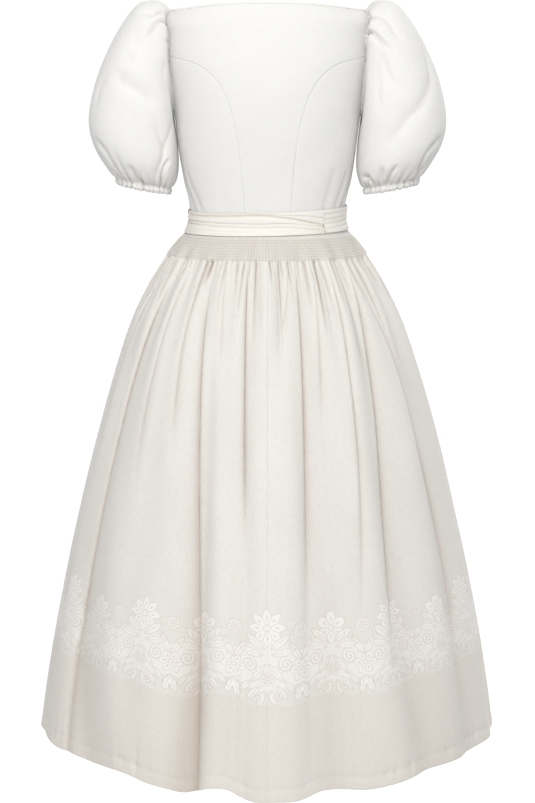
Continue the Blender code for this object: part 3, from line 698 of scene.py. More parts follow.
def ease(share):
    """0 to 1 with soft ends."""
    share = np.clip(share, 0.0, 1.0)
    return share * share * (3.0 - 2.0 * share)


def bell(share):
    """1 in the middle, falling off softly to both sides."""
    return np.exp(-(share ** 2))


print("half way through an ease:", float(ease(0.5)))

# %% [markdown]
# ### Sizes of the body
#
# The two tables hold the whole figure of the dress: how wide and how deep it is at each
# height. The skirt flares quickly below the smocking and more slowly towards the hem.

# %% Sizes of the body
WAIST_SEAM = -0.326
UNDERARM = -0.165
SHOULDER_POINT = -0.012
BACK_NECK_RISE = 0.0125
FRONT_NECK_DROP = 0.095
BINDING_HEIGHT = 0.003
HEM = -1.158
BODICE_CLOTH = 0.0014
SKIRT_CLOTH = 0.0016
SASH_CLOTH = 0.0018
SEAM_GAP = 0.0003
SHELL = 0.0010
STITCHED_GAP = 0.00005

# height, half_width, back_depth, front_depth
TORSO_ROWS = (
    (-0.326, 0.1190, 0.0860, 0.0975),
    (-0.300, 0.1212, 0.0880, 0.1030),
    (-0.266, 0.1290, 0.0920, 0.1160),
    (-0.2275, 0.1355, 0.0975, 0.1300),
    (-0.173, 0.1420, 0.1045, 0.1320),
    (-0.1126, 0.1500, 0.1080, 0.1180),
    (-0.075, 0.1565, 0.1060, 0.1030),
    (-0.040, 0.1590, 0.1010, 0.0860),
    (-0.012, 0.1590, 0.0965, 0.0760),
    (0.000, 0.1475, 0.0940, 0.0720),
    (0.014, 0.1360, 0.0900, 0.0690),
)
# height, half_width, back_depth, front_depth
SKIRT_ROWS = (
    (-0.3260, 0.1190, 0.0860, 0.0975),
    (-0.3455, 0.1262, 0.0935, 0.1035),
    (-0.3575, 0.1375, 0.1040, 0.1130),
    (-0.3890, 0.1600, 0.1250, 0.1330),
    (-0.4522, 0.1930, 0.1570, 0.1630),
    (-0.5475, 0.2280, 0.1910, 0.1960),
    (-0.6754, 0.2655, 0.2260, 0.2290),
    (-0.8044, 0.2955, 0.2540, 0.2540),
    (-0.9345, 0.3210, 0.2790, 0.2750),
    (-1.0657, 0.3435, 0.3000, 0.2920),
    (-1.1580, 0.3560, 0.3130, 0.3030),
)
torso_size = curve_through(TORSO_ROWS)
skirt_size = curve_through(SKIRT_ROWS)
print("body tables:", len(TORSO_ROWS), "torso rows,", len(SKIRT_ROWS), "skirt rows")

# %% [markdown]
# ### Points and normals
#
# A section is an ellipse that is a little fuller at its shoulders. Cloth has to stand off
# the body along the surface normal, so that a thick fold keeps its thickness on a slope.
# The normal comes from two small steps, one round the body and one up it.

# %% Points and normals
FULLNESS = 0.10
SMALL_ANGLE = 0.05
SMALL_HEIGHT = 0.0002
LEVEL_REACH = 0.004


def body_point(size, angle, height):
    """A point on a rounded body whose half width and depths change with height."""
    turn = np.radians(angle)
    sizes = size(height)
    across = np.sin(turn)
    along = np.cos(turn)
    depth = np.where(along > 0.0, sizes[..., 1], sizes[..., 2])
    fullness = 1.0 + FULLNESS * across ** 2
    return np.stack([sizes[..., 0] * across, depth * along * fullness, height], axis=-1)


def torso_point(angle, height):
    """A point on the inner face of the bodice."""
    angle, height = np.broadcast_arrays(np.asarray(angle, float), np.asarray(height, float))
    return body_point(torso_size, angle, height)


def outward(surface, angle, height):
    """Unit normals of a surface given by angle and height, away from the body."""
    along = surface(angle + SMALL_ANGLE, height) - surface(angle - SMALL_ANGLE, height)
    up = surface(angle, height + SMALL_HEIGHT) - surface(angle, height - SMALL_HEIGHT)
    normal = np.cross(up, along)
    normal[..., 2] *= np.clip(np.abs(height - WAIST_SEAM) / LEVEL_REACH, 0.0, 1.0)
    return normal / np.linalg.norm(normal, axis=-1, keepdims=True)


print("back of the waist at", round(float(torso_point(0.0, WAIST_SEAM)[1]), 4))

# %% [markdown]
# ## From points to cloth
#
# A grid of points becomes a mesh of quads, with its flat coordinates kept as a UV map for
# the weave. The points are the cloth's outer face. The Solidify modifier then thickens it
# inwards, which is simpler than building a second grid and stitching the edges by hand.

# %% Cloth from a grid


def cloth(name, grid, flat, material, thickness=SHELL, closed=False, fold_shade=None):
    """A thickened sheet from a grid of outer points and a grid of flat coordinates.

    The last argument marks, from 0 to 1, where the material paints shade in narrow folds.
    """
    rows, columns = grid.shape[:2]
    last = columns if closed else columns - 1
    row, column = np.meshgrid(np.arange(rows - 1), np.arange(last), indexing="ij")
    after = (column + 1) % columns
    a = row * columns + column
    b = row * columns + after
    quads = np.stack([a, b, b + columns, a + columns], axis=-1).reshape(-1, 4)
    points = grid.reshape(-1, 3)
    corners = points[quads]
    facing = np.cross(corners[:, 2] - corners[:, 0], corners[:, 3] - corners[:, 1])
    axis = grid.mean(axis=1)[quads[:, 0] // columns]
    if closed:
        away = corners.mean(axis=1) - axis
    else:
        away = corners.mean(axis=1) * np.array([1.0, 1.0, 0.0])
    if np.sum(facing * away) < 0.0:
        quads = quads[:, ::-1]
    mesh = bpy.data.meshes.new(name)
    mesh.from_pydata(points.tolist(), [], quads.tolist())
    layer = mesh.uv_layers.new(name="cloth")
    used = np.zeros(len(mesh.loops), dtype=np.int32)
    mesh.loops.foreach_get("vertex_index", used)
    spread = flat.reshape(-1, 2)[used]
    layer.data.foreach_set("uv", spread.astype(np.float32).ravel())
    depth_mark = mesh.attributes.new("fold_shade", "FLOAT", "POINT")
    if fold_shade is not None:
        depth_mark.data.foreach_set("value", fold_shade.astype(np.float32).ravel())
    mesh.shade_smooth()
    mesh.materials.append(material)
    piece = bpy.data.objects.new(name, mesh)
    scene.collection.objects.link(piece)
    if thickness:
        shell = piece.modifiers.new("thickness", "SOLIDIFY")
        shell.thickness = thickness
        shell.offset = -1.0
        crisp = piece.modifiers.new("crisp_edges", "WEIGHTED_NORMAL")
        crisp.mode = "FACE_AREA"
    print(name, "has", len(quads), "quads")
    return piece


def sewn(piece, slot, *nodes):
    """The piece stands for its solids and moves with the dress; its slot, the finish, is not used.
    """
    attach(piece, "root")
    if nodes:
        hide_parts(*nodes)
    return piece


# %% [markdown]
# ## Creases
#
# A crease in hanging cloth is a soft trough along a line, steeper on one side. Each crease
# here is one row of a table: where it starts and ends, how much it bows, how deep it is,
# and how wide its two flanks are. One function adds them all up, for any piece. It narrows
# a crease at its start, where the stitches hold it, and can let it open on its way down.

# %% Crease function
SHARPNESS = 0.15
HELD_WIDTH = 0.45
HELD_LENGTH = 0.25
OPENING_START = 0.3
FADE_IN = 0.10
FADE_OUT = 0.4


def fold_line(share):
    """1 on the line of a fold, falling off on both sides, with a nearly sharp bottom."""
    return np.exp(SHARPNESS - np.sqrt(share * share + SHARPNESS ** 2))


def round_trip(away):
    """An angle brought to between -180 and 180 degrees."""
    return (away + 180.0) % 360.0 - 180.0


def creases(rows, angle, height, radius, join=np.add, opening=0.0):
    """How far a set of creases pushes the cloth in, at each place.

    Rows: start_angle, start_height, end_angle, end_height, bow, depth, left, right.
    Bow is in degrees, the rest in degrees and metres. Opening is how much wider a crease
    grows on its way down.
    """
    pushed = np.zeros(np.broadcast(angle, height).shape)
    for start, top, end, low, bow, depth, left, right in rows:
        share = (top - height) / (top - low)
        inside = (share > -0.2) & (share < 1.2)
        held = np.clip(share, 0.0, 1.0)
        middle = start + (end - start) * held + 4.0 * bow * held * (1.0 - held)
        aside = np.radians(round_trip(angle - middle)) * radius
        opened = HELD_WIDTH + (1.0 - HELD_WIDTH) * np.clip(share / HELD_LENGTH, 0.0, 1.0)
        opened = opened + opening * np.clip(share - OPENING_START, 0.0, 1.0)
        width = np.where(aside > 0.0, left, right) * opened
        fade = ease(share / FADE_IN) * ease((1.0 - share) / FADE_OUT)
        pushed = join(pushed, inside * depth * fade * fold_line(1.5 * aside / width))
    return pushed


print("a crease at half its width is", round(float(fold_line(0.5)), 2), "of its depth")

# %% [markdown]
# ## The skirt
#
# The skirt is smocked: rows of thread gather its top into tiny pleats, and below the last
# row they open into folds that run to the hem. The large folds come from the table that
# made the walls. Over them lie narrow creases and, just under the smocking, a fan of short
# gathers of uneven length. No two large folds are alike, as on any worn skirt.

# %% Large folds
SMOCK_TOP = -0.3475
SMOCK_BOTTOM = -0.3827
THIRD = 0.33
# angle_top, angle_mid, angle_hem, depth_top, depth_mid, depth_hem, left_width, right_width
FOLD_ROWS = (
    (-2.0, -2.0, -2.0, 0.000, -0.003, -0.018, 8.0, 8.0),
    (9.8, 7.2, 6.5, 0.006, 0.006, 0.001, 3.2, 3.2),
    (27.0, 21.5, 19.8, 0.003, 0.011, 0.019, 9.0, 3.4),
    (22.0, 12.0, 9.0, 0.002, 0.003, 0.004, 4.0, 5.0),
    (38.0, 41.0, 35.0, 0.003, 0.004, 0.003, 5.0, 6.0),
    (55.0, 65.0, 51.0, 0.004, 0.010, 0.014, 7.0, 11.0),
    (82.0, 84.0, 80.0, 0.003, 0.005, 0.005, 5.0, 6.0),
    (-12.0, -12.0, -10.5, 0.003, 0.006, 0.004, 3.2, 3.2),
    (-20.0, -18.0, -16.5, 0.003, 0.008, 0.013, 5.0, 9.0),
    (-47.0, -41.0, -45.0, 0.005, 0.010, 0.012, 5.0, 10.0),
    (-69.0, -65.0, -63.0, 0.005, 0.010, 0.012, 5.0, 9.0),
    (-88.0, -87.0, -84.0, 0.003, 0.004, 0.006, 5.0, 6.0),
    (103.0, 105.0, 103.0, 0.004, 0.009, 0.013, 8.0, 6.0),
    (122.0, 124.0, 125.0, 0.004, 0.011, 0.016, 9.0, 6.0),
    (141.0, 143.0, 146.0, 0.005, 0.006, 0.009, 6.0, 6.0),
    (160.0, 163.0, 166.0, 0.004, 0.011, 0.016, 9.0, 6.0),
    (178.0, 181.0, 184.0, 0.003, 0.005, 0.007, 6.0, 6.0),
    (-164.0, -160.0, -158.0, 0.005, 0.011, 0.015, 6.0, 9.0),
    (-143.0, -140.0, -138.0, 0.004, 0.008, 0.012, 6.0, 8.0),
    (-121.0, -122.0, -119.0, 0.005, 0.011, 0.014, 5.0, 9.0),
    (-103.0, -104.0, -102.0, 0.003, 0.006, 0.007, 6.0, 6.0),
)


def through_three(top, mid, hem, down):
    """The smooth curve with these values at the top, a third down and at the hem."""
    first = (down - THIRD) * (down - 1.0) / THIRD
    second = down * (1.0 - down) / (THIRD * (1.0 - THIRD))
    last = down * (down - THIRD) / (1.0 - THIRD)
    return top * first + mid * second + hem * last


def large_folds(angle, down):
    """How far the large folds push the cloth in."""
    pushed = np.zeros(np.broadcast(angle, down).shape)
    for row in FOLD_ROWS:
        place = through_three(row[0], row[1], row[2], down)
        depth = through_three(row[3], row[4], row[5], down)
        away = round_trip(angle - place)
        width = np.where(away > 0.0, row[6], row[7])
        pushed = pushed + depth * bell(away / width)
    return pushed


print("large folds:", len(FOLD_ROWS))

# %% [markdown]
# ### Narrow creases
#
# The narrow creases are placed from the way the cloth falls: the deep ones start
# at the smocking and run beside a large fold, the short ones only fill the top.

# %% Narrow creases
# start_angle, start_height, end_angle, end_height, bow, depth, left, right
BACK_CREASES = (
    (11.1, -0.378, 6.6, -0.860, -0.6, 0.0050, 0.0030, 0.0045),
    (31.5, -0.383, 18.4, -1.450, -5.2, 0.0050, 0.0110, 0.0028),
    (23.6, -0.380, 18.6, -0.560, -0.6, 0.0022, 0.0028, 0.0035),
    (37.0, -0.381, 31.0, -0.700, 3.0, 0.0030, 0.0035, 0.0060),
    (47.0, -0.386, 44.0, -0.760, 4.0, 0.0026, 0.0040, 0.0070),
    (60.0, -0.390, 46.3, -1.500, 12.1, 0.0052, 0.0034, 0.0120),
    (74.0, -0.395, 80.0, -0.800, 2.0, 0.0028, 0.0040, 0.0070),
    (-4.0, -0.383, -3.6, -0.560, -1.0, 0.0018, 0.0030, 0.0030),
    (-11.6, -0.381, -3.2, -0.520, -1.0, 0.0024, 0.0028, 0.0035),
    (-15.4, -0.383, -10.4, -0.980, 0.4, 0.0048, 0.0030, 0.0070),
    (-25.8, -0.380, -20.0, -0.640, 1.0, 0.0028, 0.0030, 0.0040),
    (-35.3, -0.378, -25.4, -0.960, -1.2, 0.0042, 0.0028, 0.0045),
    (-50.7, -0.384, -35.0, -1.080, 3.0, 0.0050, 0.0030, 0.0080),
    (-53.7, -0.385, -61.5, -1.100, -7.0, 0.0050, 0.0030, 0.0080),
    (-78.0, -0.400, -84.0, -0.700, -1.0, 0.0028, 0.0040, 0.0060),
    (52.0, -0.383, 55.0, -0.520, 0.5, 0.0020, 0.0030, 0.0035),
    (4.0, -0.384, 2.5, -0.500, 0.3, 0.0014, 0.0030, 0.0030),
    (-30.0, -0.384, -28.0, -0.500, -0.4, 0.0018, 0.0030, 0.0030),
    (-43.0, -0.386, -42.0, -0.560, 1.0, 0.0020, 0.0030, 0.0040),
    (-64.0, -0.390, -70.0, -0.560, 0.5, 0.0024, 0.0030, 0.0040),
)
FRONT_CREASES = (
    (97.0, -0.388, 101.0, -0.900, -1.0, 0.0040, 0.0070, 0.0030),
    (112.0, -0.384, 118.0, -0.620, 1.0, 0.0026, 0.0040, 0.0030),
    (128.0, -0.383, 123.0, -1.020, 1.5, 0.0048, 0.0080, 0.0030),
    (137.0, -0.382, 139.0, -0.540, -0.5, 0.0020, 0.0035, 0.0030),
    (150.0, -0.384, 147.0, -0.800, 1.0, 0.0034, 0.0050, 0.0030),
    (164.0, -0.383, 165.0, -1.040, -1.2, 0.0050, 0.0080, 0.0030),
    (173.0, -0.384, 176.0, -0.600, 0.6, 0.0022, 0.0035, 0.0030),
    (186.0, -0.382, 183.0, -0.720, 0.8, 0.0030, 0.0040, 0.0035),
    (-166.0, -0.383, -159.0, -1.060, -1.0, 0.0048, 0.0030, 0.0080),
    (-152.0, -0.384, -149.0, -0.600, -0.6, 0.0024, 0.0030, 0.0035),
    (-141.0, -0.384, -138.5, -0.960, 1.0, 0.0040, 0.0030, 0.0060),
    (-128.0, -0.385, -127.0, -0.560, 0.8, 0.0022, 0.0030, 0.0040),
    (-117.0, -0.386, -120.0, -1.040, -1.4, 0.0048, 0.0030, 0.0080),
    (-101.0, -0.388, -104.0, -0.760, -0.8, 0.0030, 0.0035, 0.0050),
)
SKIRT_CREASES = BACK_CREASES + FRONT_CREASES
print("narrow creases:", len(SKIRT_CREASES))

# %% [markdown]
# ### Gathers
#
# Under the last gathering thread the tiny pleats join in groups. Each group is a short
# trough with its own length, depth and lean, drawn from a seeded random table, so every run
# gives the same skirt. Placing all of them by hand would take hours and look no better.

# %% Gathers
GATHER_COUNT = 56
SHORT_GATHERS = 104
GATHER_LEAN = 1.6
GATHER_OPENING = 0.8
GATHER_START = 0.006
GATHER_FADE = 0.009
chance = np.random.default_rng(11)


def draw_gathers(count, depth, length, width):
    """Rows of angle, depth, length, lean and width, each drawn between two limits."""
    angle = (np.arange(count) + chance.uniform(-0.30, 0.30, count)) * 360.0 / count
    rows = [angle, chance.uniform(*depth, count), chance.uniform(*length, count)]
    rows += [chance.uniform(-GATHER_LEAN, GATHER_LEAN, count), chance.uniform(*width, count)]
    return list(zip(*rows))


# count, then the limits of depth, length and width
gather_rows = []
for row in (
    (GATHER_COUNT, (0.0036, 0.0090), (0.035, 0.170), (0.0022, 0.0042)),
    (SHORT_GATHERS, (0.0020, 0.0048), (0.014, 0.055), (0.0014, 0.0024)),
):
    gather_rows += draw_gathers(*row)


def gathers(angle, height, radius, join=np.add):
    """Short troughs that open out below the smocking."""
    below = SMOCK_BOTTOM - height
    pushed = np.zeros(np.broadcast(angle, height).shape)
    for start, depth, length, lean, width in gather_rows:
        share = below / length
        aside = np.radians(round_trip(angle - start - lean * share)) * radius
        opening = width * (1.0 + GATHER_OPENING * np.clip(share, 0.0, 1.2))
        fade = ease((below + GATHER_START) / GATHER_FADE) * (1.0 - ease(share))
        pushed = join(pushed, depth * fade * fold_line(1.5 * aside / opening))
    return pushed


print("gathers:", len(gather_rows))

# %% [markdown]
# ### Smocking
#
# The smocking is a product of two waves: pleats round the body and threads across them,
# which leaves rows of small raised dots.

# %% Smocking
PLEATS = 200
THREAD_ROWS = 9
SMOCK_SWELL = 0.00055
PLEAT_RISE = 0.00045
PLEAT_UNDER_THREAD = 0.35
SMOCK_EDGE = 0.004


def smocking(angle, height):
    """Small raised dots in rows, over the smocked height."""
    inside = ease((SMOCK_TOP + SMOCK_EDGE - height) / SMOCK_EDGE)
    inside = inside * ease((height - SMOCK_BOTTOM + SMOCK_EDGE) / SMOCK_EDGE)
    pleat = np.cos(np.radians(PLEATS * angle))
    thread = (height - SMOCK_BOTTOM) / (SMOCK_TOP - SMOCK_BOTTOM) * THREAD_ROWS
    row = 0.5 - 0.5 * np.cos(2.0 * math.pi * thread)
    shown = PLEAT_UNDER_THREAD + (1.0 - PLEAT_UNDER_THREAD) * row
    return inside * (SMOCK_SWELL * row + PLEAT_RISE * pleat * shown)


print("pleats:", PLEATS, "threads:", THREAD_ROWS)

# %% [markdown]
# ### Hem
#
# The hem is turned up twice and sewn two centimetres above the edge. The thread pulls a
# shallow line into the cloth, and where it pulls too hard the hem puckers into short
# upright dents.

# %% Hem
HEM_STITCH = HEM + 0.019
STITCH_DEPTH = 0.0009
STITCH_HEIGHT = 0.0022
PUCKER_COUNT = 46
PUCKER_HEIGHT = 0.011
PUCKER_WIDTH = 0.0045
pucker_angle = chance.uniform(-180.0, 180.0, PUCKER_COUNT)
pucker_depth = chance.uniform(0.0005, 0.0022, PUCKER_COUNT)


def hem_dents(angle, height, radius):
    """The stitched line of the hem and its puckers."""
    above = height - HEM_STITCH
    pushed = STITCH_DEPTH * bell(above / STITCH_HEIGHT) * (1.0 + 0.0 * angle)
    near = bell(above / PUCKER_HEIGHT)
    for start, depth in zip(pucker_angle, pucker_depth):
        aside = np.radians(round_trip(angle - start)) * radius
        pushed = pushed + depth * near * bell(aside / PUCKER_WIDTH)
    return pushed


print("puckers:", PUCKER_COUNT, "the deepest", round(float(pucker_depth.max()), 4))

# %% [markdown]
# ### Skirt surface
#
# All parts of the form meet in one function, which gives the inner face of the skirt at
# any angle and height. Soft bulges between the gathers and a very small ripple keep the
# cloth between two folds from looking like sheet metal.

# %% Skirt surface
SIDE_FULLNESS = 0.006
CREASE_OPENING = 2.6
BULGE = 0.0034
RIPPLE = 0.0008


def skirt_radius(height):
    """The mean radius of the skirt at a height."""
    return skirt_size(height).mean(axis=-1)


def way_down(height):
    """0 at the last smocking thread, 1 at the hem."""
    return np.clip((SMOCK_BOTTOM - height) / (SMOCK_BOTTOM - HEM), 0.0, 1.0)


def skirt_lift(angle, height):
    """How far the skirt stands out from its smooth form."""
    down = way_down(height)
    free = np.clip((SMOCK_TOP - height) / (SMOCK_TOP - SMOCK_BOTTOM), 0.0, 1.0)
    radius = skirt_radius(height)
    turn = np.radians(angle)
    soft = np.cos(0.5 * GATHER_COUNT * turn + 0.8 * np.sin(3.0 * turn))
    out = BULGE * free * bell((down - 0.06) / 0.12) * soft
    out = out + SIDE_FULLNESS * np.sin(turn) ** 2 * ease(down / 0.2)
    out = out - free * large_folds(angle, down)
    out = out - creases(SKIRT_CREASES, angle, height, radius, opening=CREASE_OPENING)
    out = out - gathers(angle, height, radius)
    out = out - hem_dents(angle, height, radius)
    ripple = np.sin(23.0 * turn + 6.0 * down) * np.sin(9.0 * down + 5.0 * turn)
    return out + RIPPLE * ease(down / 0.2) * ripple


def skirt_point(angle, height):
    """A point on the inner face of the skirt, with its folds."""
    angle, height = np.broadcast_arrays(np.asarray(angle, float), np.asarray(height, float))
    point = body_point(skirt_size, angle, height)
    sizes = skirt_size(height)
    turn = np.radians(angle)
    depth = np.where(np.cos(turn) > 0.0, sizes[..., 1], sizes[..., 2])
    out_x = np.sin(turn) * depth
    out_y = np.cos(turn) * sizes[..., 0]
    lift = skirt_lift(angle, height) / np.hypot(out_x, out_y)
    point[..., 0] += out_x * lift
    point[..., 1] += out_y * lift
    return point


def skirt_outer(angle, height):
    """The outer face of the skirt."""
    face = skirt_point(angle, height)
    normal = outward(skirt_point, angle, height)
    thick = SKIRT_CLOTH + smocking(angle, height)
    return face + normal * thick[..., None]


print("skirt at the hem, side:", round(float(skirt_point(90.0, HEM)[0]), 3))

# %% [markdown]
# ### Depth of a fold
#
# The twill's painted fold shade needs to know where a place lies deep. The narrow folds
# count most, then the pits between the smocked pleats, and the large folds only a little.
# Lower down the creases open and let more light in, so their painted shade fades.

# %% Depth of a fold
DEEP_CREASE = 0.0066
DEEP_SMOCK = 0.0009
PIT_SHARE = 0.45
LOW_FADE = 0.5
SLOPE_SHARE = 0.10
SLOPE_DEPTH = 0.012
VALLEY_SHARE = 0.22
VALLEY_START = 0.009
VALLEY_DEPTH = 0.010


def skirt_fold_shade(angle, height):
    """How much painted shade a place gets in the folds, from 0 to 1."""
    radius = skirt_radius(height)
    long_ones = creases(SKIRT_CREASES, angle, height, radius, np.maximum, CREASE_OPENING)
    short_ones = gathers(angle, height, radius, join=np.maximum)
    down = way_down(height)
    pits = np.clip(1.0 - smocking(angle, height) / DEEP_SMOCK, 0.0, 1.0)
    smocked = ease((SMOCK_TOP - height) / SMOCK_EDGE) * ease((height - SMOCK_BOTTOM) / SMOCK_EDGE)
    large = large_folds(angle, down)
    steady = SLOPE_SHARE * large / SLOPE_DEPTH
    steady = steady + VALLEY_SHARE * ease((large - VALLEY_START) / VALLEY_DEPTH)
    shaded = ease(np.maximum(long_ones, short_ones) / DEEP_CREASE)
    shaded = shaded * (1.0 - LOW_FADE * ease((down - 0.2) / 0.5))
    return shaded * (1.0 - smocked) + PIT_SHARE * pits * smocked + steady


print("mark at the back middle of the hem:", round(float(skirt_fold_shade(0.0, HEM)), 2))

# %% [markdown]
# ### Hang of the hem
#
# A worn skirt never hangs level. Where a fold swings out, its hem drops, and over the hips
# the cloth is taken up, so the sides hang higher. The rows give how far the hem lies below
# its level at set angles, and a smooth curve joins them. The whole lower skirt moves with
# it, with the border, and nothing above the middle of the skirt does.

# %% Hang of the hem
SIDE_RISE = 0.012
SIDE_TOP = -0.60
SIDE_LENGTH = 0.55
HANG_TOP = -0.78
HANG_LENGTH = 0.26
# angle, how far the hem hangs below its level there
HANG_ROWS = (
    (-180.0, 0.007),
    (-171.0, 0.005),
    (-160.0, -0.004),
    (-150.0, 0.006),
    (-139.0, -0.003),
    (-130.0, 0.003),
    (-120.0, -0.007),
    (-108.0, -0.005),
    (-90.0, -0.009),
    (-78.0, -0.010),
    (-63.0, -0.007),
    (-52.0, -0.005),
    (-39.0, 0.000),
    (-32.0, 0.006),
    (-25.0, 0.009),
    (-18.0, 0.006),
    (-13.0, 0.006),
    (-8.5, 0.013),
    (-1.0, 0.014),
    (3.5, 0.015),
    (6.5, 0.010),
    (9.5, 0.002),
    (15.0, 0.002),
    (18.5, 0.011),
    (22.0, 0.015),
    (27.0, 0.009),
    (32.0, 0.003),
    (38.0, -0.005),
    (50.0, -0.006),
    (62.0, -0.011),
    (75.0, -0.013),
    (90.0, -0.009),
    (103.0, -0.008),
    (113.0, -0.002),
    (124.0, -0.006),
    (133.0, 0.005),
    (143.0, -0.002),
    (152.0, 0.006),
    (163.0, -0.004),
    (172.0, 0.005),
    (180.0, 0.007),
)
hem_level = curve_through(HANG_ROWS)


def skirt_hang(angle, height):
    """How much lower the skirt hangs here than a level one: less at the sides, in waves."""
    waves = hem_level(round_trip(angle))[..., 0] * ease((HANG_TOP - height) / HANG_LENGTH)
    sides = SIDE_RISE * np.sin(np.radians(angle)) ** 2 * ease((SIDE_TOP - height) / SIDE_LENGTH)
    return waves - sides


print("the hem hangs", round(float(skirt_hang(0.0, HEM)), 3), "lower at the back middle")

# %% [markdown]
# ### Skirt panels
#
# The three panels differ only in the angles that they cover. The rows of the grid stand
# closest where the smocking, the gathers and the hem stitch need them. One even grid would
# be simpler, but would take several times as many faces for the same small dots.

# %% Skirt panels
skirt_heights = np.concatenate([
    np.linspace(WAIST_SEAM - 0.5 * SEAM_GAP, SMOCK_TOP + 0.004, 5)[:-1],
    np.linspace(SMOCK_TOP + 0.004, SMOCK_BOTTOM - 0.002, 48),
    np.linspace(SMOCK_BOTTOM - 0.002, -0.460, 20)[1:],
    np.linspace(-0.460, -0.600, 13)[1:],
    np.linspace(-0.600, HEM_STITCH + 0.010, 26)[1:],
    np.linspace(HEM_STITCH + 0.010, HEM, 9)[1:],
])


def skirt_panel(name, start, end, columns):
    """One panel of the skirt, between two seams."""
    angles = np.linspace(start, end, columns + 1)[None, :] + np.zeros((len(skirt_heights), 1))
    inset = np.degrees(0.5 * STITCHED_GAP / skirt_size(skirt_heights)[:, 0])
    angles[:, 0] += inset
    angles[:, -1] -= inset
    heights = skirt_heights[:, None] + np.zeros_like(angles)
    grid = skirt_outer(angles, heights)
    grid[..., 2] -= skirt_hang(angles, heights)
    flat = np.stack([np.radians(angles) * GIRTH_FLAT, heights], axis=-1)
    # Painted shade: darker and warmer where the skirt lies in a fold.
    shade_mark = skirt_fold_shade(angles, heights)
    piece = cloth("cloth_" + name, grid, flat, skirt_twill, fold_shade=shade_mark)
    return sewn(piece, "skirt_twill", name)


cloth_skirt_back_left = skirt_panel("skirt_back_left", 0.0, 90.0, 250)
cloth_skirt_back_right = skirt_panel("skirt_back_right", -90.0, 0.0, 250)
cloth_skirt_front = skirt_panel("skirt_front", 90.0, 270.0, 400)

# %% [markdown]
# ## The bodice
#
# The bodice is cut in panels: a centre back that fans out to both armholes, a side back and
# a side front on each side, and two centre fronts that lap right over left. Each panel is a
# grid between four edge lines, so the curved seams stay smooth however fine the grid is.

# %% Seam lines
# height, angle from the centre back
BACK_SEAM_ROWS = (
    (-0.3260, 17.0),
    (-0.2263, 18.1),
    (-0.1575, 22.0),
    (-0.1196, 27.5),
    (-0.0970, 34.0),
    (-0.0825, 43.0),
    (-0.0760, 53.0),
    (-0.0735, 62.0),
    (-0.0720, 70.0),
    (-0.0715, 78.0),
)
# height, angle from the centre front
FRONT_SEAM_ROWS = (
    (-0.3260, 24.0),
    (-0.2500, 28.0),
    (-0.1750, 36.0),
    (-0.1350, 44.0),
    (-0.1150, 52.0),
    (-0.1080, 58.0),
    (-0.1050, 64.0),
)
GIRTH_PER_DEGREE = 0.0025
SEAM_SHARES = np.linspace(0.0, 1.0, 45)


def moved_aside(line, distance):
    """A line of angles and heights moved sideways, to the left of its direction."""
    flat = np.array([line[:, 0] * GIRTH_PER_DEGREE, line[:, 1]]).T
    way = np.gradient(flat, axis=0)
    way /= np.linalg.norm(way, axis=1, keepdims=True)
    flat = flat + distance * np.stack([-way[:, 1], way[:, 0]], axis=1)
    return np.array([flat[:, 0] / GIRTH_PER_DEGREE, flat[:, 1]]).T


def curved_seam(rows, from_front):
    """A curved panel seam from the waist to the armhole, evenly sampled by length."""
    dense = np.linspace(rows[0][0], rows[-1][0], 400)
    angle = curve_through(rows)(dense)[:, 0]
    if from_front:
        angle = 180.0 - angle
    flat = np.stack([angle * GIRTH_PER_DEGREE, dense], axis=1)
    steps = np.linalg.norm(np.diff(flat, axis=0), axis=1)
    length = np.concatenate([[0.0], np.cumsum(steps)])
    at = SEAM_SHARES * length[-1]
    return np.stack([np.interp(at, length, angle), np.interp(at, length, dense)], axis=1)


back_seam = curved_seam(BACK_SEAM_ROWS, False)
front_seam = curved_seam(FRONT_SEAM_ROWS, True)
print("seam points:", len(back_seam), "and", len(front_seam))

# %% [markdown]
# ### Armhole
#
# The armhole is an upright oval on the bodice, wider to the front, where the arm needs
# room. The curved seams end on it, so their last points are set on its edge.

# %% Armhole
ARMHOLE_BACK = 12.0
ARMHOLE_FRONT = 26.0
ARMHOLE_SQUARENESS = 0.8
ARM_SHARES = np.linspace(0.05, 1.0, 20)
ARMHOLE_MIDDLE = 0.5 * (SHOULDER_POINT + UNDERARM)
ARMHOLE_HALF = 0.5 * (SHOULDER_POINT - UNDERARM)


def armhole_line(turns):
    """The armhole edge: 0 is its top, 90 the back, 180 the underarm, 270 the front."""
    turn = np.radians(np.asarray(turns, dtype=float))
    side = np.sin(turn)
    reach = np.where(side > 0.0, ARMHOLE_BACK, ARMHOLE_FRONT)
    angle = 90.0 - np.sign(side) * reach * np.abs(side) ** ARMHOLE_SQUARENESS
    return np.stack([angle, ARMHOLE_MIDDLE + ARMHOLE_HALF * np.cos(turn)], axis=-1)


def armhole_turn_at(height, side):
    """Where the armhole edge has this height, on its back (1) or front (-1) side."""
    turn = math.degrees(math.acos((height - ARMHOLE_MIDDLE) / ARMHOLE_HALF))
    return turn if side > 0 else 360.0 - turn


back_meet = armhole_turn_at(back_seam[-1, 1], 1)
front_meet = armhole_turn_at(front_seam[-1, 1], -1)
back_seam[-1] = armhole_line([back_meet])[0]
front_seam[-1] = armhole_line([front_meet])[0]
print("seams meet the armhole at", round(back_meet, 1), "and", round(front_meet, 1))

# %% [markdown]
# ### Wrinkles of the bodice
#
# A close bodice is nearly smooth. It only buckles where the sash pulls it in: short slanted
# wrinkles at the sides of the waist and a few faint upright ones between them.

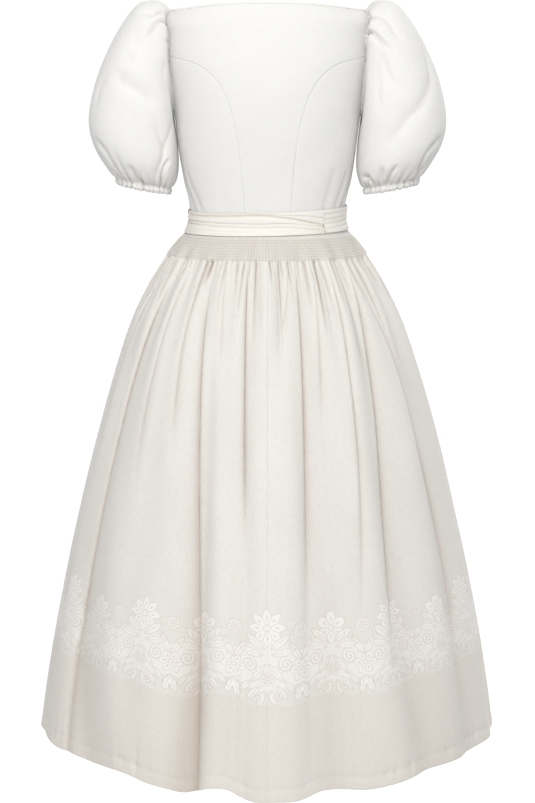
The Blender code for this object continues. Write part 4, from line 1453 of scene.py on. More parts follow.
# %% Bodice surface
# start_angle, start_height, end_angle, end_height, bow, depth, left, right
BODICE_CREASES = (
    (84.0, -0.222, 60.0, -0.335, 3.0, 0.0034, 0.0060, 0.0040),
    (70.0, -0.240, 49.0, -0.335, 2.0, 0.0028, 0.0055, 0.0038),
    (92.0, -0.250, 74.0, -0.335, 2.0, 0.0026, 0.0050, 0.0038),
    (33.0, -0.262, 30.0, -0.335, 0.0, 0.0007, 0.0060, 0.0060),
    (10.0, -0.270, 9.0, -0.335, 0.0, 0.0006, 0.0050, 0.0050),
    (-3.0, -0.265, -2.0, -0.335, 0.0, 0.0006, 0.0050, 0.0050),
    (-27.0, -0.262, -30.0, -0.335, 0.0, 0.0008, 0.0060, 0.0060),
    (-50.0, -0.235, -44.0, -0.340, 0.0, 0.0020, 0.0070, 0.0090),
    (-68.0, -0.240, -53.0, -0.335, -1.0, 0.0026, 0.0040, 0.0050),
    (-84.0, -0.232, -62.0, -0.335, -2.0, 0.0032, 0.0040, 0.0060),
    (112.0, -0.250, 130.0, -0.330, -2.0, 0.0016, 0.0040, 0.0050),
    (-112.0, -0.245, -128.0, -0.330, 2.0, 0.0018, 0.0050, 0.0040),
    (150.0, -0.270, 152.0, -0.335, 0.0, 0.0007, 0.0060, 0.0060),
    (-152.0, -0.268, -150.0, -0.335, 0.0, 0.0007, 0.0060, 0.0060),
)
BODICE_RIPPLE = 0.0005
SEAM_DIP = 0.0003
BODICE_CREASE_SHADE = 0.0060
TORSO_FLAT = 0.13


def torso_outer(angle, height, above=0.0):
    """The outer face of the bodice, or a place a little above it."""
    angle, height = np.broadcast_arrays(np.asarray(angle, float), np.asarray(height, float))
    radius = torso_size(height).mean(axis=-1)
    pushed = creases(BODICE_CREASES, angle, height, radius)
    turn = np.radians(angle)
    ripple = np.sin(5.0 * turn + 30.0 * height) * np.sin(38.0 * height + 2.0 * turn)
    out = BODICE_CLOTH + above - pushed + BODICE_RIPPLE * ripple
    return torso_point(angle, height) + outward(torso_point, angle, height) * out[..., None]


def seam_roll(grid_shape):
    """How far a panel's rim dips, so that a sewn seam reads as a fine line."""
    rows, columns = grid_shape
    across = np.minimum(np.arange(columns), np.arange(columns)[::-1])
    return SEAM_DIP * bell(across / 0.8)[None, :] + np.zeros((rows, 1))


def bodice_panel(name, angles, heights, lift=0.0):
    """One cloth panel of the bodice, which stands for its solid."""
    grid = torso_outer(angles, heights, lift - seam_roll(angles.shape))
    flat = np.stack([np.radians(angles) * TORSO_FLAT, heights], axis=-1)
    # Painted shade: the linen is darkened and warmed in the waist creases.
    pulled = creases(BODICE_CREASES, angles, heights, torso_size(heights).mean(axis=-1))
    shade_mark = ease(pulled / BODICE_CREASE_SHADE)
    piece = cloth("cloth_" + name, grid, flat, bodice_linen, fold_shade=shade_mark)
    return sewn(piece, "bodice_linen", name)


print("bodice creases:", len(BODICE_CREASES))

# %% [markdown]
# ### Back panel
#
# The back panel is bounded by the two seams, the backs of the armholes, short straps and
# the neck. Its rows follow those edges at the sides and level out towards the middle.

# %% Back panel


def neck_height(angle):
    """Height of the neck edge: nearly straight at the back, scooped in front."""
    turn = np.radians(angle)
    across = np.abs(np.sin(turn))
    back = BACK_NECK_RISE * (1.0 - across ** 2.6)
    front = -FRONT_NECK_DROP * (1.0 - across ** 2.0)
    return np.where(np.cos(turn) > 0.0, back, front)


def middle_line(side_heights, turn_row, top):
    """Heights of the rows at the middle: as at the side up to one row, then even."""
    rest = np.linspace(side_heights[turn_row], top, len(side_heights) - turn_row)
    return np.concatenate([side_heights[:turn_row], rest])


half_gap = 0.5 * STITCHED_GAP
arm_back = armhole_line(back_meet * (1.0 - ARM_SHARES))
edge = moved_aside(np.concatenate([back_seam, arm_back]), half_gap)
edge[-1, 0] = 90.0 - half_gap / GIRTH_PER_DEGREE
strap_top = float(neck_height(edge[-1, 0])) - BINDING_HEIGHT
strap = [(edge[-1, 0], height) for height in np.linspace(edge[-1, 1], strap_top, 4)[1:]]
edge = np.concatenate([edge, strap])
edge[0, 1] = WAIST_SEAM + half_gap
BACK_COLUMNS = 64
TURN_SHARE = 0.77
spread = np.linspace(-1.0, 1.0, BACK_COLUMNS + 1)
turn_row = int(round(TURN_SHARE * (len(SEAM_SHARES) - 1)))
centre_top = BACK_NECK_RISE - BINDING_HEIGHT - half_gap
even_heights = middle_line(edge[:, 1], turn_row, centre_top)
pull = spread[None, :] ** 2
back_angles = edge[:, 0][:, None] * spread[None, :]
back_heights = edge[:, 1][:, None] * pull + even_heights[:, None] * (1.0 - pull)
back_heights[-1] = neck_height(back_angles[-1]) - BINDING_HEIGHT - half_gap
cloth_back = bodice_panel("back_centre", back_angles, back_heights)

# %% [markdown]
# ### Side panels
#
# A patch between four lines is filled by blending its opposite edges and taking away the
# corners that were counted twice. It is called a Coons patch, and suits panels whose edges
# are all known curves.

# %% Side panels


def patch(left, right, bottom, top, shares):
    """A grid of angles and heights between four edge lines with shared corners."""
    rise = np.linspace(0.0, 1.0, len(left))[:, None, None]
    run = np.array(shares)[None, :, None]
    sides = left[:, None, :] * (1.0 - run) + right[:, None, :] * run
    ends = bottom[None, :, :] * (1.0 - rise) + top[None, :, :] * rise
    corners = bottom[0] * (1.0 - rise) * (1.0 - run) + bottom[-1] * (1.0 - rise) * run
    corners = corners + top[0] * rise * (1.0 - run) + top[-1] * rise * run
    return sides + ends - corners


def straight(start, end, shares):
    """A straight line between two points, at these shares of its length."""
    step = np.array(shares)[:, None]
    return np.array(start) * (1.0 - step) + np.array(end) * step


def side_grid(seam, meet, side, seam_side):
    """The angles and heights of a panel between a curved seam and the side seam."""
    shares = np.linspace(0.0, 1.0, 36)
    inner_edge = moved_aside(seam, seam_side * half_gap)
    inner_edge[0, 1] = WAIST_SEAM + half_gap
    side_angle = 90.0 - side * half_gap / GIRTH_PER_DEGREE
    low = WAIST_SEAM + half_gap
    high = UNDERARM - half_gap
    side_heights = low + SEAM_SHARES * (high - low)
    side_line = np.stack([np.full(len(seam), side_angle), side_heights], axis=1)
    turns = meet + (180.0 - meet) * shares
    top = moved_aside(armhole_line(turns), -side * half_gap)
    top[0] = inner_edge[-1]
    top[-1] = side_line[-1]
    bottom = straight(inner_edge[0], side_line[0], shares)
    return patch(inner_edge, side_line, bottom, top, shares)


back_side = side_grid(back_seam, back_meet, 1.0, -1.0)
front_side = side_grid(front_seam, front_meet, -1.0, 1.0)
for word, mirror in (("left", 1.0), ("right", -1.0)):
    for name, grid in (("back_side_", back_side), ("front_side_", front_side)):
        bodice_panel(name + word, mirror * grid[..., 0], grid[..., 1])

# %% [markdown]
# ### Centre fronts
#
# The fronts are hidden in the picture, so they stay plain. The right front is lifted where
# it lies over the left one.

# %% Centre fronts
LAP_ANGLE = 4.5
LAP_ROOM = 0.0022
LAP_ROWS = 26
NECK_CROWDING = 1.15


def lap_lift(angle):
    """Room for the cloth under the front lap, on the wearer's right front."""
    return LAP_ROOM * (1.0 - ease((angle + 173.0) / 9.0))


arm_front = armhole_line(360.0 - (360.0 - front_meet) * (1.0 - ARM_SHARES))
front_edge = moved_aside(np.concatenate([front_seam, arm_front]), -half_gap)
shoulder_angle = 90.0 + half_gap / GIRTH_PER_DEGREE
front_edge[-1] = (shoulder_angle, SHOULDER_POINT)
front_edge[0, 1] = WAIST_SEAM + half_gap
lap_edge = 180.0 + LAP_ANGLE
neck_rows = len(front_edge) - LAP_ROWS
neck_share = (np.arange(0, neck_rows + 1) / neck_rows) ** NECK_CROWDING
neck_angles = lap_edge + (shoulder_angle - lap_edge) * neck_share
neck_line = np.stack([neck_angles, neck_height(neck_angles) - BINDING_HEIGHT - half_gap], axis=1)
lap_heights = np.linspace(front_edge[0, 1], neck_line[0, 1], LAP_ROWS)
lap_line = np.stack([np.full(LAP_ROWS, lap_edge), lap_heights], axis=1)
middle_edge = np.concatenate([lap_line, neck_line[1:]])
front_shares = np.linspace(0.0, 1.0, 33)
front_base = straight(front_edge[0], middle_edge[0], front_shares)
shoulder_line = straight(front_edge[-1], middle_edge[-1], front_shares)
front_grid = patch(front_edge, middle_edge, front_base, shoulder_line, front_shares)
front_angles = front_grid[..., 0]
front_heights = front_grid[..., 1]
cloth_front_left = bodice_panel("front_left", front_angles, front_heights)
right_lift = lap_lift(-front_angles)
cloth_front_right = bodice_panel("front_right", -front_angles, front_heights, right_lift)

# %% [markdown]
# ### Neck binding
#
# A strip three millimetres wide finishes the neck. It is one more grid, swollen a little
# along its middle like a rolled edge.

# %% Neck binding
BINDING_SWELL = 0.0004
around = np.concatenate([
    np.linspace(lap_edge, 90.0, 120),
    np.linspace(90.0, -90.0, 160)[1:-1],
    np.linspace(-90.0, -lap_edge, 120),
])
BINDING_SHARES = np.linspace(0.0, 1.0, 6)
neck_top = neck_height(around)
binding_low = neck_top - BINDING_HEIGHT + half_gap
binding_heights = binding_low + (neck_top - binding_low) * BINDING_SHARES[:, None]
binding_angles = around[None, :] + np.zeros_like(binding_heights)
swell = BINDING_SWELL * np.sin(math.pi * BINDING_SHARES)[:, None]
binding_grid = torso_outer(binding_angles, binding_heights, lap_lift(binding_angles) + swell)
binding_flat = np.stack([np.radians(binding_angles) * TORSO_FLAT, binding_heights], axis=-1)
cloth_binding = cloth("cloth_neck_binding", binding_grid, binding_flat, bodice_linen)
sewn(cloth_binding, "bodice_linen", "neck_binding")

# %% [markdown]
# ### Small repeated shapes
#
# Knots and buttons are written as points and faces. One mesh that holds all copies of a
# knot is far lighter than hundreds of objects.

# %% Small repeated shapes


def ball(rings=5, sides=8):
    """Points and faces of a small ball of radius 1."""
    points = [(0.0, 0.0, 1.0)]
    for ring in range(1, rings):
        lean = math.pi * ring / rings
        for side in range(sides):
            turn = 2.0 * math.pi * side / sides
            out = math.sin(lean)
            points.append((out * math.cos(turn), out * math.sin(turn), math.cos(lean)))
    points.append((0.0, 0.0, -1.0))
    faces = []
    for side in range(sides):
        after = (side + 1) % sides
        faces.append((0, 1 + side, 1 + after))
        for ring in range(rings - 2):
            low = 1 + ring * sides
            faces.append((low + side, low + sides + side, low + sides + after, low + after))
        last = 1 + (rings - 2) * sides
        faces.append((last + side, len(points) - 1, last + after))
    return np.array(points), faces


def many(name, shape, frames, material):
    """One mesh with the shape copied into every frame: origin and three scaled axes."""
    points, faces = shape
    all_points = []
    all_faces = []
    for origin, axes in frames:
        first = len(all_points) * len(points)
        all_points.append(origin + points @ axes)
        all_faces += [tuple(first + corner for corner in face) for face in faces]
    mesh = bpy.data.meshes.new(name)
    mesh.from_pydata(np.concatenate(all_points).tolist(), [], all_faces)
    mesh.shade_smooth()
    mesh.materials.append(material)
    piece = bpy.data.objects.new(name, mesh)
    scene.collection.objects.link(piece)
    print(name, "has", len(frames), "copies")
    return piece


print("points of a ball:", len(ball()[0]))

# %% [markdown]
# ### Neck knots
#
# A row of tiny knots stands on the edge of the neck, at an even pitch along its length.

# %% Neck knots
KNOT_PITCH = 0.0034
KNOT_RADIUS = 0.0009
KNOT_INSET = 0.0009
KNOT_RISE = 0.0002
KNOT_MARGIN = 0.002
thread = new_material("sewing_thread", (0.88, 0.865, 0.83), 0.6, 0.2)
dense = np.linspace(lap_edge, -lap_edge, 4000)
neck_run = torso_outer(dense, neck_height(dense) - KNOT_INSET, lap_lift(dense) + KNOT_RISE)
run_length = np.concatenate([[0.0], np.cumsum(np.linalg.norm(np.diff(neck_run, axis=0), axis=1))])
knot_count = int(run_length[-1] / KNOT_PITCH)
at = np.linspace(KNOT_MARGIN, run_length[-1] - KNOT_MARGIN, knot_count)
knot_points = np.stack([np.interp(at, run_length, neck_run[:, axis]) for axis in range(3)], axis=1)
knot_frames = [(point, np.eye(3) * KNOT_RADIUS) for point in knot_points]
sewn(many("neck_knots", ball(), knot_frames, thread), "bodice_linen")

# %% [markdown]
# ### Buttons
#
# The buttons are covered in the bodice cloth. Each is a dome turned from a short profile,
# flatter than a half ball and tucked in at its foot.

# %% Buttons
BUTTON_COUNT = 6
BUTTON_RADIUS = 0.0055
BUTTON_HEIGHT = 0.0030
BUTTON_LOW = -0.290
TOP_BUTTON_DROP = 0.0135
BUTTON_ROOM = 0.0006
# share of the radius, share of the height
BUTTON_PROFILE = (
    (0.00, 0.00),
    (0.86, 0.00),
    (0.95, 0.10),
    (1.00, 0.28),
    (0.98, 0.46),
    (0.90, 0.62),
    (0.75, 0.78),
    (0.55, 0.90),
    (0.30, 0.97),
    (0.00, 1.00),
)


def turned(profile, sides):
    """A round shape from a profile of radius and height, as points and faces."""
    points = []
    faces = []
    for radius, rise in profile:
        for side in range(sides):
            turn = 2.0 * math.pi * side / sides
            points.append((radius * math.cos(turn), radius * math.sin(turn), rise))
    for ring in range(len(profile) - 1):
        for side in range(sides):
            after = (side + 1) % sides
            low = ring * sides
            faces.append((low + side, low + after, low + sides + after, low + sides + side))
    return np.array(points), faces


button_heights = np.linspace(BUTTON_LOW, -FRONT_NECK_DROP - TOP_BUTTON_DROP, BUTTON_COUNT)
for number, height in enumerate(button_heights):
    spot = (np.array([180.0]), np.array([height]))
    normal = outward(torso_point, *spot)[0]
    base = torso_point(*spot)[0] + normal * (LAP_ROOM + BODICE_CLOTH + BUTTON_ROOM)
    across = np.array([1.0, 0.0, 0.0])
    upward = np.cross(normal, across)
    axes = np.array([across * BUTTON_RADIUS, upward * BUTTON_RADIUS, normal * BUTTON_HEIGHT])
    name = "covered_button_" + str(number + 1)
    button = many(name, turned(BUTTON_PROFILE, 28), [(base, axes)], bodice_linen)
    weld = button.modifiers.new("closed_tips", "WELD")
    weld.merge_threshold = 0.00001
    sewn(button, "bodice_linen", "button_" + str(number + 1))

# %% [markdown]
# ## The sleeves
#
# A puff sleeve is a wide tube gathered into a small armhole and into an elastic at the
# cuff. The tube runs through the same rings as its wall. The first table gives the outer
# and inner point of each ring, the second how far the head puffs over the bodice.

# %% Sleeve sizes
ARMHOLE_EASE = 0.0008
# outer_x, outer_z, inner_x, inner_z, half_depth, centre_y
SLEEVE_ROWS = (
    (0.1600, 0.0085, 0.1480, -0.1715, 0.0610, -0.0110),
    (0.1760, 0.0145, 0.1450, -0.1810, 0.0670, -0.0080),
    (0.2030, 0.0060, 0.1425, -0.1960, 0.0700, -0.0050),
    (0.2360, -0.0400, 0.1405, -0.2140, 0.0765, -0.0030),
    (0.2640, -0.1020, 0.1395, -0.2300, 0.0785, -0.0020),
    (0.2780, -0.1640, 0.1395, -0.2440, 0.0775, -0.0010),
    (0.2720, -0.2060, 0.1405, -0.2550, 0.0720, 0.0000),
    (0.2540, -0.2410, 0.1430, -0.2680, 0.0600, 0.0000),
    (0.2400, -0.2610, 0.1480, -0.2765, 0.0470, 0.0000),
    (0.2385, -0.2662, 0.1485, -0.2812, 0.0478, 0.0000),
    (0.2345, -0.2710, 0.1505, -0.2858, 0.0455, 0.0000),
)
INNER_FULLNESS = 0.20
CROWN_RISE = 0.009
SLEEVE_COLUMNS = 240
SLEEVE_RINGS = np.concatenate([
    np.linspace(0.0, 4.0, 50),
    np.linspace(4.0, 9.0, 42)[1:],
    np.linspace(9.0, 12.0, 27)[1:],
])
# turn, how far the puffed head lies over the bodice, in metres
HEAD_OVERHANG = (
    (0.0, 0.0080),
    (22.0, 0.0180),
    (45.0, 0.0270),
    (68.0, 0.0205),
    (90.0, 0.0120),
    (130.0, 0.0030),
    (180.0, 0.0000),
    (230.0, 0.0030),
    (270.0, 0.0080),
    (315.0, 0.0190),
    (338.0, 0.0150),
    (360.0, 0.0080),
)
print("rings in the table:", len(SLEEVE_ROWS))

# %% [markdown]
# ### Sleeve tube
#
# The first three rings lie on the armhole, the rest come from the table. A smooth curve
# through all of them, one for each column, makes the fine grid.

# %% Sleeve tube
ARMHOLE_STEP = 1.0
# how far out from the body, and how much of the overhang, for the rings at the armhole
ARMHOLE_RINGS = ((-0.0006, 0.0), (0.0020, 0.88), (0.0040, 1.0))
ARMHOLE_KEYS = (0.0, 0.45, 1.1)
CROWN_ROWS = 4.0


def armhole_ring(turns, beyond, over):
    """The armhole outline just inside its edge, moved out from the body and over it."""
    line = armhole_line(turns)
    way = armhole_line(turns + ARMHOLE_STEP) - armhole_line(turns - ARMHOLE_STEP)
    way = way * np.array([GIRTH_PER_DEGREE, 1.0])
    way /= np.linalg.norm(way, axis=1, keepdims=True)
    inset = SEAM_GAP + ARMHOLE_EASE + 0.5 * BODICE_CLOTH - over
    angle = line[:, 0] - inset * way[:, 1] / GIRTH_PER_DEGREE
    height = line[:, 1] + inset * way[:, 0]
    return torso_point(angle, height) + outward(torso_point, angle, height) * beyond


def sleeve_tube(turns):
    """The smooth sleeve: a grid of fine rings by turns, on the left side."""
    turn = np.radians(turns)
    over = curve_through(HEAD_OVERHANG)(turns % 360.0)[:, 0]
    rings = [armhole_ring(turns, beyond, share * over) for beyond, share in ARMHOLE_RINGS]
    crown = np.sin(2.0 * turn) * (np.cos(turn) > 0.0)
    for number, row in enumerate(SLEEVE_ROWS):
        outer_x, outer_z, inner_x, inner_z, half_depth, centre_y = row
        share = 0.5 + 0.5 * np.cos(turn)
        x = inner_x + (outer_x - inner_x) * share
        z = inner_z + (outer_z - inner_z) * share
        fuller = np.abs(np.sin(turn)) ** (1.0 - INNER_FULLNESS * (1.0 - share))
        y = half_depth * np.sign(np.sin(turn)) * fuller + centre_y * np.sin(turn) ** 2
        y = y + crown * CROWN_RISE * max(0.0, 1.0 - number / CROWN_ROWS)
        rings.append(np.stack([x, y, z], axis=1))
    flat = np.array(rings).reshape(len(rings), -1)
    keys = np.concatenate([ARMHOLE_KEYS, np.arange(2, len(rings) - 1)])
    table = np.concatenate([keys[:, None], flat], axis=1)
    return curve_through(table)(SLEEVE_RINGS).reshape(len(SLEEVE_RINGS), len(turns), 3)


def tube_normals(grid):
    """Unit normals of a grid that is closed round its columns, away from its middle."""
    around = np.roll(grid, -1, axis=1) - np.roll(grid, 1, axis=1)
    down = np.gradient(grid, axis=0)
    normal = np.cross(around, down)
    normal /= np.linalg.norm(normal, axis=-1, keepdims=True)
    middle = grid.mean(axis=1, keepdims=True)
    if np.sum(normal * (grid - middle)) < 0.0:
        normal = -normal
    return normal


sleeve_turns = np.arange(SLEEVE_COLUMNS) * 360.0 / SLEEVE_COLUMNS
smooth_sleeve = sleeve_tube(sleeve_turns)
smooth_normals = tube_normals(smooth_sleeve)
print("sleeve rings:", len(SLEEVE_RINGS))

# %% [markdown]
# ### Sleeve gathers
#
# The gathers are short troughs that start at the armhole and at the elastic and die out
# towards the full middle. Those of the head are deepest at the top, where the pattern puts
# the most cloth.

# %% Sleeve gathers
HEAD_GATHERS = 26
CUFF_GATHERS = 28
HEAD_WIDTH = 2.6
CUFF_WIDTH = 4.2
WIDTH_PER_RING = 1.2
GATHER_SHARPNESS = 1.5
ELASTIC_RING = 10.0
ELASTIC_WIDTH = 0.28
ELASTIC_DEPTH = 0.0018
BELOW_ELASTIC = 0.75


def sleeve_gathers(seed):
    """Troughs from the armhole, deepest at the top, and from the elastic, all round."""
    draw = np.random.default_rng(seed)
    ring = SLEEVE_RINGS[:, None]
    turns = sleeve_turns[None, :]
    pushed = np.zeros((len(SLEEVE_RINGS), SLEEVE_COLUMNS))
    for number in range(HEAD_GATHERS):
        middle = (number + draw.uniform(-0.25, 0.25)) * 360.0 / HEAD_GATHERS
        crown = 0.35 + 0.65 * max(0.0, math.cos(math.radians(middle)))
        depth = draw.uniform(0.0016, 0.0040) * crown
        reach = draw.uniform(1.5, 3.2) * (0.6 + 0.4 * crown)
        width = HEAD_WIDTH + WIDTH_PER_RING * ring
        fade = ease(ring / 0.5) * (1.0 - ease((ring - 0.6) / reach))
        away = round_trip(turns - middle)
        pushed += depth * fade * fold_line(GATHER_SHARPNESS * away / width)
    for number in range(CUFF_GATHERS):
        middle = (number + draw.uniform(-0.22, 0.22)) * 360.0 / CUFF_GATHERS
        depth = draw.uniform(0.0038, 0.0074)
        reach = draw.uniform(1.2, 3.0)
        up = ELASTIC_RING - ring
        fade = np.where(up > 0.0, 1.0 - ease((up - 0.1) / reach), BELOW_ELASTIC)
        width = CUFF_WIDTH + WIDTH_PER_RING * np.clip(up, 0.0, 3.0)
        away = round_trip(turns - middle)
        pushed += depth * fade * fold_line(GATHER_SHARPNESS * away / width)
    return pushed + ELASTIC_DEPTH * bell((ring - ELASTIC_RING) / ELASTIC_WIDTH)


print("sleeve gathers:", HEAD_GATHERS, "and", CUFF_GATHERS)

# %% [markdown]
# ### Sleeve creases
#
# A crease is a trough along a smooth line through a few places on the tube, with softly
# raised shoulders, for cloth that is pushed in must come out beside the fold. Distances are
# measured in space, so a crease keeps its width where the tube widens.

# %% Sleeve creases
CREASE_STEPS = 64
SEWN_RING = 1.5
FREE_START = 0.25
SEWN_START = 0.06
CREASE_END = 0.30
CREASE_SHARPNESS = 1.3
SHOULDER_SHARE = 0.30
SHOULDER_WIDTH = 3.0


def tube_spots(grid, turns, rings):
    """Points on the tube at any turns and rings, between the grid's own points."""
    row = np.interp(rings, SLEEVE_RINGS, np.arange(len(SLEEVE_RINGS)))
    column = (turns % 360.0) / 360.0 * SLEEVE_COLUMNS
    up = np.minimum(row.astype(int), len(SLEEVE_RINGS) - 2)
    left = column.astype(int) % SLEEVE_COLUMNS
    right = (left + 1) % SLEEVE_COLUMNS
    down_share = (row - up)[:, None]
    side_share = (column % 1.0)[:, None]
    upper = grid[up, left] * (1.0 - side_share) + grid[up, right] * side_share
    lower = grid[up + 1, left] * (1.0 - side_share) + grid[up + 1, right] * side_share
    return upper * (1.0 - down_share) + lower * down_share


def line_crease(grid, places, depth, half_width):
    """A trough with raised shoulders, along a smooth line through places (turn, ring)."""
    places = np.array(places, dtype=float)
    knots = np.linspace(0.0, 1.0, len(places))
    steps = np.linspace(0.0, 1.0, CREASE_STEPS)
    path = curve_through(np.column_stack([knots, places]))(steps)
    spots = tube_spots(grid, path[:, 0], path[:, 1])
    start = FREE_START if places[0, 1] > SEWN_RING else SEWN_START
    trough = np.zeros(grid.shape[:2])
    raised = np.zeros(grid.shape[:2])
    for step, spot in zip(steps, spots):
        fade = ease(step / start) * ease((1.0 - step) / CREASE_END)
        distance = np.linalg.norm(grid - spot, axis=-1) / half_width
        trough = np.maximum(trough, fade * fold_line(CREASE_SHARPNESS * distance))
        shoulder = SHOULDER_SHARE * bell(distance / SHOULDER_WIDTH)
        raised = np.maximum(raised, fade * shoulder)
    return depth * (trough - raised)


print("steps along a crease:", CREASE_STEPS)

# %% [markdown]
# ### Crease tables
#
# A place is given as its turn round the tube and its ring, so that a row can be read
# straight off the picture. The creases of the hidden front serve both sleeves, and each
# back has its own, as no two sleeves crumple alike.

# %% Crease tables
# places as (turn, ring), depth, half_width
FRONT_SLEEVE_CREASES = (
    (((-56.0, 1.0), (-54.0, 2.4), (-64.0, 3.4), (-60.0, 4.4)), 0.0070, 0.0050),
    (((-34.0, 1.2), (-26.0, 2.4), (-34.0, 3.4), (-18.0, 4.4)), 0.0045, 0.0080),
    (((-36.0, 5.6), (-64.0, 5.4), (-92.0, 5.0), (-114.0, 4.6)), 0.0055, 0.0120),
    (((-100.0, 5.2), (-124.0, 6.0), (-130.0, 7.2), (-116.0, 9.6)), 0.0050, 0.0085),
    (((-24.0, 7.4), (-46.0, 8.0), (-48.0, 9.0), (-40.0, 10.2)), 0.0060, 0.0060),
    (((-84.0, 8.0), (-88.0, 9.2), (-82.0, 10.2)), 0.0055, 0.0050),
    (((-140.0, 7.2), (-134.0, 8.4), (-122.0, 10.2)), 0.0055, 0.0045),
)
LEFT_CREASES = (
    (((58.0, 0.7), (46.0, 1.7), (47.0, 2.7), (58.0, 3.6), (68.0, 4.3)), 0.0095, 0.0042),
    (((66.0, 4.1), (50.0, 4.6)), 0.0040, 0.0120),
    (((40.0, 1.0), (30.0, 2.2), (38.0, 3.3), (20.0, 4.2)), 0.0080, 0.0060),
    (((62.0, 0.6), (64.0, 1.5), (70.0, 2.1)), 0.0045, 0.0034),
    (((38.0, 5.6), (66.0, 5.4), (90.0, 5.0), (116.0, 4.6)), 0.0065, 0.0120),
    (((48.0, 5.0), (64.0, 4.8)), 0.0040, 0.0100),
    (((98.0, 5.2), (122.0, 5.6), (134.0, 6.4), (122.0, 8.4), (110.0, 10.2)), 0.0055, 0.0085),
    (((146.0, 6.4), (136.0, 7.5), (124.0, 10.2)), 0.0060, 0.0042),
    (((144.0, 3.7), (136.0, 5.5), (134.0, 6.7)), 0.0030, 0.0060),
    (((26.0, 7.6), (46.0, 8.0), (50.0, 8.7), (46.0, 10.2)), 0.0065, 0.0055),
    (((82.0, 8.2), (84.0, 9.2), (88.0, 10.2)), 0.0060, 0.0050),
    (((40.0, 5.7), (30.0, 6.2), (32.0, 6.7)), 0.0030, 0.0080),
    (((86.0, 2.4), (102.0, 3.2), (122.0, 2.6)), 0.0030, 0.0100),
)
RIGHT_CREASES = (
    (((54.0, 1.0), (58.0, 2.0), (64.0, 3.1), (68.0, 3.8), (66.0, 4.6)), 0.0095, 0.0046),
    (((38.0, 1.4), (40.0, 2.8), (46.0, 3.7), (50.0, 4.2), (40.0, 4.8)), 0.0055, 0.0100),
    (((72.0, 3.5), (82.0, 4.3), (82.0, 4.8), (76.0, 5.5)), 0.0045, 0.0100),
    (
        ((10.0, 5.0), (22.0, 5.4), (34.0, 5.9), (62.0, 6.2),
         (82.0, 6.2), (104.0, 6.5), (116.0, 7.1)),
        0.0065,
        0.0120,
    ),
    (((18.0, 7.5), (46.0, 7.9), (52.0, 8.6), (32.0, 10.0)), 0.0080, 0.0060),
    (((156.0, 8.4), (140.0, 8.5), (124.0, 9.8)), 0.0070, 0.0042),
    (((94.0, 8.1), (100.0, 8.7), (100.0, 10.2)), 0.0060, 0.0042),
    (((118.0, 7.7), (106.0, 10.2)), 0.0050, 0.0042),
    (((36.0, 10.0), (62.0, 9.8)), 0.0030, 0.0034),
    (((12.0, 9.0), (20.0, 9.6), (10.0, 10.2)), 0.0050, 0.0042),
    (((84.0, 3.7), (100.0, 4.2), (110.0, 5.1)), 0.0032, 0.0100),
)
print("sleeve creases:", len(LEFT_CREASES), "and", len(RIGHT_CREASES))

# %% [markdown]
# ### Sleeves
#
# Both sleeves start from the same smooth tube. The gathers are drawn with different seeds,
# and all troughs are pushed in along the tube's normals before the right one is mirrored.

# %% Sleeves
SLEEVE_FLAT = 0.08
RING_FLAT = 0.022
SLEEVE_SHADE_START = 0.0015
SLEEVE_SHADE_DEPTH = 0.0080


def cloth_sleeve(word, mirror, seed, own_creases):
    """One sleeve: the smooth tube with its gathers and creases pushed in."""
    pushed = sleeve_gathers(seed)
    for places, depth, half_width in FRONT_SLEEVE_CREASES + own_creases:
        pushed = pushed + line_crease(smooth_sleeve, places, depth, half_width)
    grid = smooth_sleeve + smooth_normals * (0.5 * BODICE_CLOTH - pushed)[..., None]
    grid = grid * np.array([mirror, 1.0, 1.0])
    across = np.radians(sleeve_turns)[None, :] * SLEEVE_FLAT
    flat = np.stack(np.broadcast_arrays(across, SLEEVE_RINGS[:, None] * RING_FLAT), axis=-1)
    # Painted shade: darker and warmer in the sleeve's gathers and creases.
    shade_mark = ease((pushed - SLEEVE_SHADE_START) / SLEEVE_SHADE_DEPTH)
    name = "cloth_sleeve_" + word
    piece = cloth(name, grid, flat, bodice_linen, closed=True, fold_shade=shade_mark)
    sewn(piece, "bodice_linen", "sleeve_" + word)


cloth_sleeve("left", 1.0, 21, LEFT_CREASES)
cloth_sleeve("right", -1.0, 22, RIGHT_CREASES)

# %% [markdown]
# ## The sash
#
# The sash is a long strip folded by hand and wound over the waist seam. Its folds are lines
# that wander up and down as they run round the body, so each fold is a row of heights at
# set angles, joined by a smooth curve. A seam at the right back holds the ends of the
# folds, and beyond it the sash is pleated evenly.

# %% Sash folds
SASH_TOP = -0.3095
SASH_BOTTOM = -0.3470
SASH_RISE = 0.007
SASH_SEAM_ANGLE = -45.0
SASH_ROOM = 0.0010
SASH_KNOT_ANGLES = (-45.0, -30.0, -17.0, 3.0, 26.0, 54.0, 74.0, 90.0)
# depth, width above, width below, then the share of the height at each angle above
SASH_FOLDS = (
    (0.0021, 0.030, 0.100, (0.66, 0.44, 0.27, 0.12, 0.12, 0.15, 0.16, 0.16)),
    (0.0011, 0.025, 0.060, (0.35, 0.22, 0.16, 0.05, 0.04, 0.05, 0.06, 0.07)),
    (0.0015, 0.030, 0.070, (0.72, 0.62, 0.50, 0.48, 0.45, 0.42, 0.38, 0.36)),
    (0.0018, 0.030, 0.080, (0.86, 0.76, 0.66, 0.64, 0.60, 0.56, 0.54, 0.52)),
    (0.0007, 0.025, 0.050, (0.93, 0.90, 0.86, 0.84, 0.82, 0.78, 0.72, 0.68)),
    (0.0006, 0.025, 0.050, (0.97, 0.96, 0.95, 0.94, 0.92, 0.90, 0.86, 0.84)),
)
SASH_PLEATS = 5
SASH_PUFF = 0.0012
PLEAT_DRIFT = 0.03
PLEAT_RIM = 0.06
FINE_FOLDS = 7.0
FINE_DEPTH = 0.0005


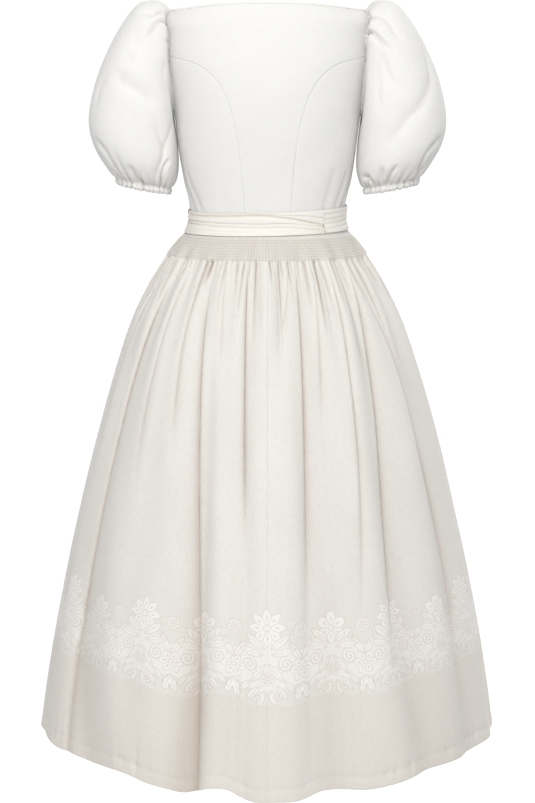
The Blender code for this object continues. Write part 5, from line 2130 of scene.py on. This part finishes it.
def back_swell(angles, shares):
    """The wandering folds of the sash at the back."""
    out = SASH_PUFF - SASH_PUFF * np.abs(2.0 * shares - 1.0) ** 6
    for depth, above, below, line in SASH_FOLDS:
        middle = curve_through(list(zip(SASH_KNOT_ANGLES, line)))(angles)[..., 0]
        aside = shares - middle
        out = out - depth * bell(aside / np.where(aside < 0.0, above, below))
    bunch = ease((angles - 50.0) / 25.0)
    fine = np.cos(2.0 * math.pi * FINE_FOLDS * shares + 0.06 * angles)
    return out + FINE_DEPTH * bunch * fine


def front_swell(angles, shares):
    """Even pleats, a little uneven in height as they go round."""
    drift = PLEAT_DRIFT * np.sin(np.radians(3.0 * angles))
    wave = np.abs(np.sin(math.pi * SASH_PLEATS * (shares + drift)))
    rim = ease(shares / PLEAT_RIM) * ease((1.0 - shares) / PLEAT_RIM)
    return (SASH_PUFF * wave ** 0.7 - 0.5 * SASH_PUFF) * rim


print("sash folds:", len(SASH_FOLDS), "pleats:", SASH_PLEATS)

# %% [markdown]
# ### Sash pieces
#
# The sash lies on the bodice above the waist seam and on the skirt below it, with room for
# the lapped fronts. It stands a little higher at the right side, where the picture has it.

# %% Sash pieces
SASH_ROWS = 48
SASH_RADIUS = 0.12
SASH_LEAN = 0.2
SASH_SHADE_START = 0.0003
SASH_SHADE_DEPTH = 0.0014


def waist_point(angle, height):
    """The inner face of the bodice above the waist seam and of the skirt below it."""
    angle, height = np.broadcast_arrays(np.asarray(angle, float), np.asarray(height, float))
    above = height[..., None] > WAIST_SEAM
    return np.where(above, torso_point(angle, height), body_point(skirt_size, angle, height))


def sash_grid(angles, shares, swell):
    """Outer points of the sash for a grid of angles and shares of its height."""
    rise = SASH_RISE * (0.5 - 0.5 * np.sin(np.radians(angles))) ** 2
    heights = SASH_TOP + (SASH_BOTTOM - SASH_TOP) * shares + rise * (1.0 - SASH_LEAN * shares)
    face = waist_point(angles, heights)
    normal = outward(waist_point, angles, heights)
    from_front = np.abs((angles % 360.0) - 180.0)
    room = SASH_ROOM + LAP_ROOM * (1.0 - ease((from_front - 12.0) / 20.0))
    out = SKIRT_CLOTH + room + SASH_CLOTH + swell
    return face + normal * out[..., None], heights


def sash_piece(name, start, end, columns, swell):
    """A part of the sash between two angles, with its folds."""
    inset = np.degrees(0.5 * SEAM_GAP / SASH_RADIUS)
    angles = np.linspace(start + inset, end - inset, columns) + np.zeros((SASH_ROWS, 1))
    shares = np.linspace(0.0, 1.0, SASH_ROWS)[:, None] + np.zeros_like(angles)
    folds = swell(angles, shares)
    grid, heights = sash_grid(angles, shares, folds)
    flat = np.stack([np.radians(angles) * TORSO_FLAT, heights], axis=-1)
    # Painted shade: darker and warmer in the hollows of the sash's folds.
    shade_mark = ease((SASH_SHADE_START - folds) / SASH_SHADE_DEPTH)
    piece = cloth("cloth_" + name, grid, flat, sash_silk, fold_shade=shade_mark)
    return sewn(piece, "sash_silk", name)


cloth_sash_back = sash_piece("sash_back", SASH_SEAM_ANGLE, 90.0, 200, back_swell)
cloth_sash_front = sash_piece("sash_front", 90.0, 360.0 + SASH_SEAM_ANGLE, 260, front_swell)

# %% [markdown]
# ## Finish
#

# %% Finish
print("the dress is finished")
